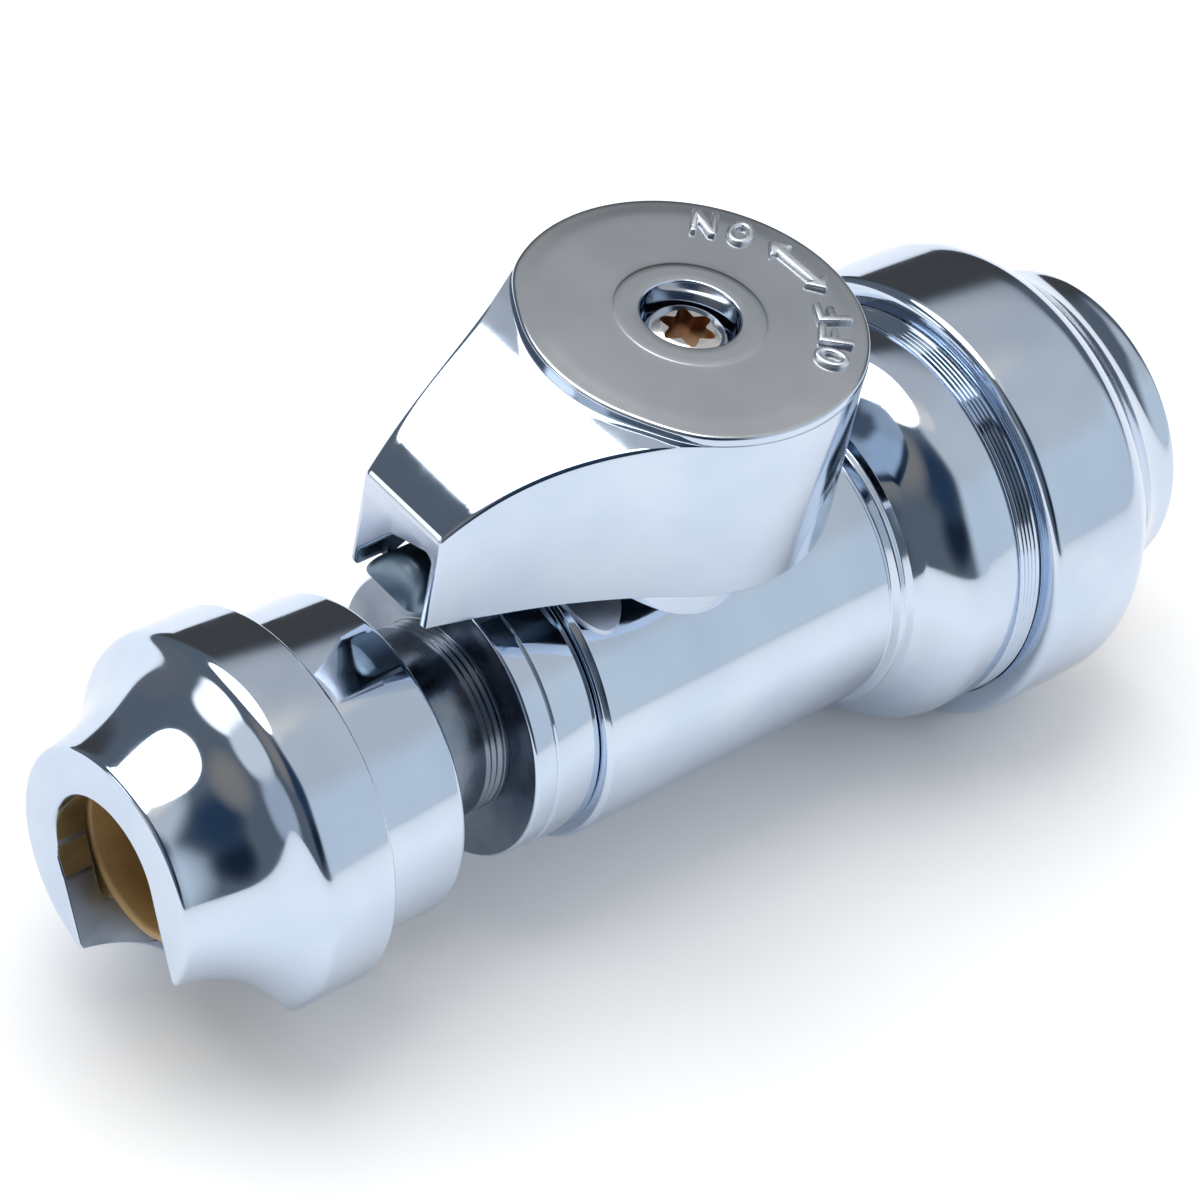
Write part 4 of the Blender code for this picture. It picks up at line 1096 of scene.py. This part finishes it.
def tooth(end):
    """One sector of the flat rim with the tooth that leans inwards from it, open where the next one joins."""
    near = end.shell_end + FIT
    far = near + 0.3
    rim = end.shell_r - 0.1
    root = end.socket_r + end.tooth_length
    tip = end.socket_r - SLIDE
    lean = end.tooth_lean
    rows = ((near, rim), (far, rim), (far, root), (far - lean, tip), (near - lean, tip), (near, root))
    sector = 2 * math.pi / end.teeth
    points = []
    for k in range(9):
        angle = sector * k / 8
        for along, radius in rows:
            points.append((end.side * along, radius * math.cos(angle), radius * math.sin(angle)))
    faces = []
    for k in range(8):
        a, b = k * 6, k * 6 + 6
        pairs = WITH_TOOTH if k < 6 else RIM_ALONE
        faces += [(a + p, a + q, b + q, b + p) for p, q in pairs]
    faces += [(2, 5, 4, 3), (38, 39, 40, 41)]
    return points, faces


def grab_ring(name, end, node):
    points, faces = tooth(end)
    mesh = bpy.data.meshes.new(name)
    mesh.from_pydata([Vector(p) * MM for p in points], [], faces)
    pattern = bpy.data.objects.new(name + "_tooth", mesh)
    bpy.context.scene.collection.objects.link(pattern)
    made = bpy.data.objects.new(name, bpy.data.meshes.new(name))
    bpy.context.scene.collection.objects.link(made)
    step = made.modifiers.new("teeth", "NODES")
    step.node_group = teeth_round_a_ring
    items = teeth_round_a_ring.interface.items_tree
    sockets = {item.name: item.identifier for item in items if item.in_out == "INPUT"}
    step[sockets["Tooth"]] = pattern
    step[sockets["Teeth"]] = end.teeth
    step[sockets["Steel"]] = SPRING_STEEL
    settle(made)
    bpy.data.objects.remove(pattern, do_unlink=True)
    bm = bmesh.new()
    bm.from_mesh(made.data)
    bmesh.ops.recalc_face_normals(bm, faces=bm.faces)
    bm.to_mesh(made.data)
    bm.free()
    smooth(made)
    return placed_on(made, "valve_body", node)


grab_ring("inlet_grab_stamping", INLET, "inlet_grab_ring")
grab_ring("outlet_grab_stamping", OUTLET, "outlet_grab_ring")


# Floor, room and lamp

FLOOR_Z = -13.7
FLOOR_HALF = 900
PAPER_IN_MIRROR = 0.3
PAPER_IN_VIEW = 0.4


def floor():
    """White paper. Where the valve stands over it, it keeps the valve's soft shadow from the lamp, and its
    glow there is darkened by ambient occlusion as a painted contact shadow.
    """
    half = FLOOR_HALF
    points = [(-half, -half, FLOOR_Z), (half, -half, FLOOR_Z), (half, half, FLOOR_Z), (-half, half, FLOOR_Z)]
    paper = bpy.data.materials.new("white_paper")
    paper.use_nodes = True
    tree = paper.node_tree
    tree.nodes.clear()
    seen = add(tree, "ShaderNodeLightPath")
    matt = add(tree, "ShaderNodeBsdfDiffuse", {"Color": linear("#F6F6F6")})

    def maths(operation, first, second):
        return add(tree, "ShaderNodeMath", {0: first, 1: second}, operation=operation).outputs[0]

    mirrored = maths("MAXIMUM", seen.outputs["Is Glossy Ray"], seen.outputs["Is Transmission Ray"])
    in_mirror = maths("MULTIPLY", mirrored, PAPER_IN_MIRROR)
    in_view = maths("MULTIPLY", seen.outputs["Is Camera Ray"], PAPER_IN_VIEW)
    # Ambient occlusion darkens the paper's glow near the valve: a painted contact shadow, seen directly and
    # in the chrome.
    occlusion_painted_shadow = add(tree, "ShaderNodeAmbientOcclusion", {"Distance": 0.03}, samples=8)
    shaded = maths("MULTIPLY", maths("ADD", in_mirror, in_view), occlusion_painted_shadow.outputs["AO"])
    glow = add(tree, "ShaderNodeEmission", {"Color": linear("#FFFFFF"), "Strength": shaded})
    both = add(tree, "ShaderNodeAddShader", {0: matt.outputs[0], 1: glow.outputs[0]})
    add(tree, "ShaderNodeOutputMaterial", {"Surface": both.outputs[0]})
    made = object_of("floor", points, [(0, 1, 2, 3)], (paper,))
    for face in made.data.polygons:
        if face.normal.z < 0:
            face.flip()


floor()


def direction(azimuth, elevation):
    a, e = math.radians(azimuth), math.radians(elevation)
    return (math.cos(a) * math.cos(e), math.sin(a) * math.cos(e), math.sin(e))


# The room round the valve: azimuth, elevation, degrees to its edge, degrees to its end, colour, strength
ROOM = (
    ((-50, 18), 26, 46, "#D6DFE6", 1.0),  # grey reflector in front
    ((-18, 62), 24, 38, "#CDD0D2", 1.0),
    ((28, 74), 16, 24, "#EFE6DC", 1.0),  # warm ceiling
    ((38, 54), 6, 28, "#C4C5C7", 1.0),  # what the disc mirrors
    ((-112, 20), 5, 22, "#1E2A38", 1.0),  # the camera's side
    ((-120, 48), 8, 28, "#2C3F54", 1.0),
    ((-168, 44), 4, 24, "#8C8680", 1.0),
    ((-172, 2), 9, 16, "#B4BCC6", 1.0),
    ((118, 4), 8, 20, "#6C6E74", 1.0),
    ((152, 16), 10, 14, "#FFFFFF", 1.6),  # low lamp behind the inlet
    ((172, 15), 8, 13, "#E2E4E6", 1.0),
    ((55, 8), 20, 31, "#4A4A4A", 1.0),  # dark corner of the room
)


def room():
    """What the chrome mirrors. The camera itself sees plain white."""
    world = bpy.data.worlds.new("studio")
    bpy.context.scene.world = world
    world.use_nodes = True
    tree = world.node_tree
    tree.nodes.clear()
    way = add(tree, "ShaderNodeTexCoord").outputs["Generated"]
    colour = linear("#626A72")
    for (azimuth, elevation), edge, end, code, strength in ROOM:
        towards = direction(azimuth, elevation)
        facing = add(tree, "ShaderNodeVectorMath", {0: way, 1: towards}, operation="DOT_PRODUCT")
        zone = add(tree, "ShaderNodeMapRange", {
            "Value": facing.outputs["Value"],
            "From Min": math.cos(math.radians(end)),
            "From Max": math.cos(math.radians(edge)),
        }, interpolation_type="SMOOTHSTEP")
        lit = tuple(c * strength for c in linear(code)[:3]) + (1.0,)
        mixed = add(tree, "ShaderNodeMix", {0: zone.outputs["Result"], 6: colour, 7: lit}, data_type="RGBA")
        colour = mixed.outputs[2]
    in_view = add(tree, "ShaderNodeLightPath").outputs["Is Camera Ray"]
    shown = add(tree, "ShaderNodeMix", {0: in_view, 6: colour, 7: linear("#FFFFFF")}, data_type="RGBA")
    glow = add(tree, "ShaderNodeBackground", {"Color": shown.outputs[2], "Strength": 1.0})
    add(tree, "ShaderNodeOutputWorld", {"Surface": glow.outputs[0]})


room()


def softbox(name, azimuth, elevation, distance, size, radiance):
    """A round lamp that faces the valve. Its power gives the stated radiance."""
    lamp = bpy.data.lights.new(name, "AREA")
    lamp.shape = "DISK"
    lamp.size = size
    lamp.energy = radiance * math.pi * (math.pi * size * size / 4)
    made = bpy.data.objects.new(name, lamp)
    way = Vector(direction(azimuth, elevation))
    made.matrix_world = Matrix.Translation(way * distance) @ way.to_track_quat("Z", "Y").to_matrix().to_4x4()
    bpy.context.scene.collection.objects.link(made)


softbox("overhead_softbox", 105, 70, 0.8, 0.8, 2.8)
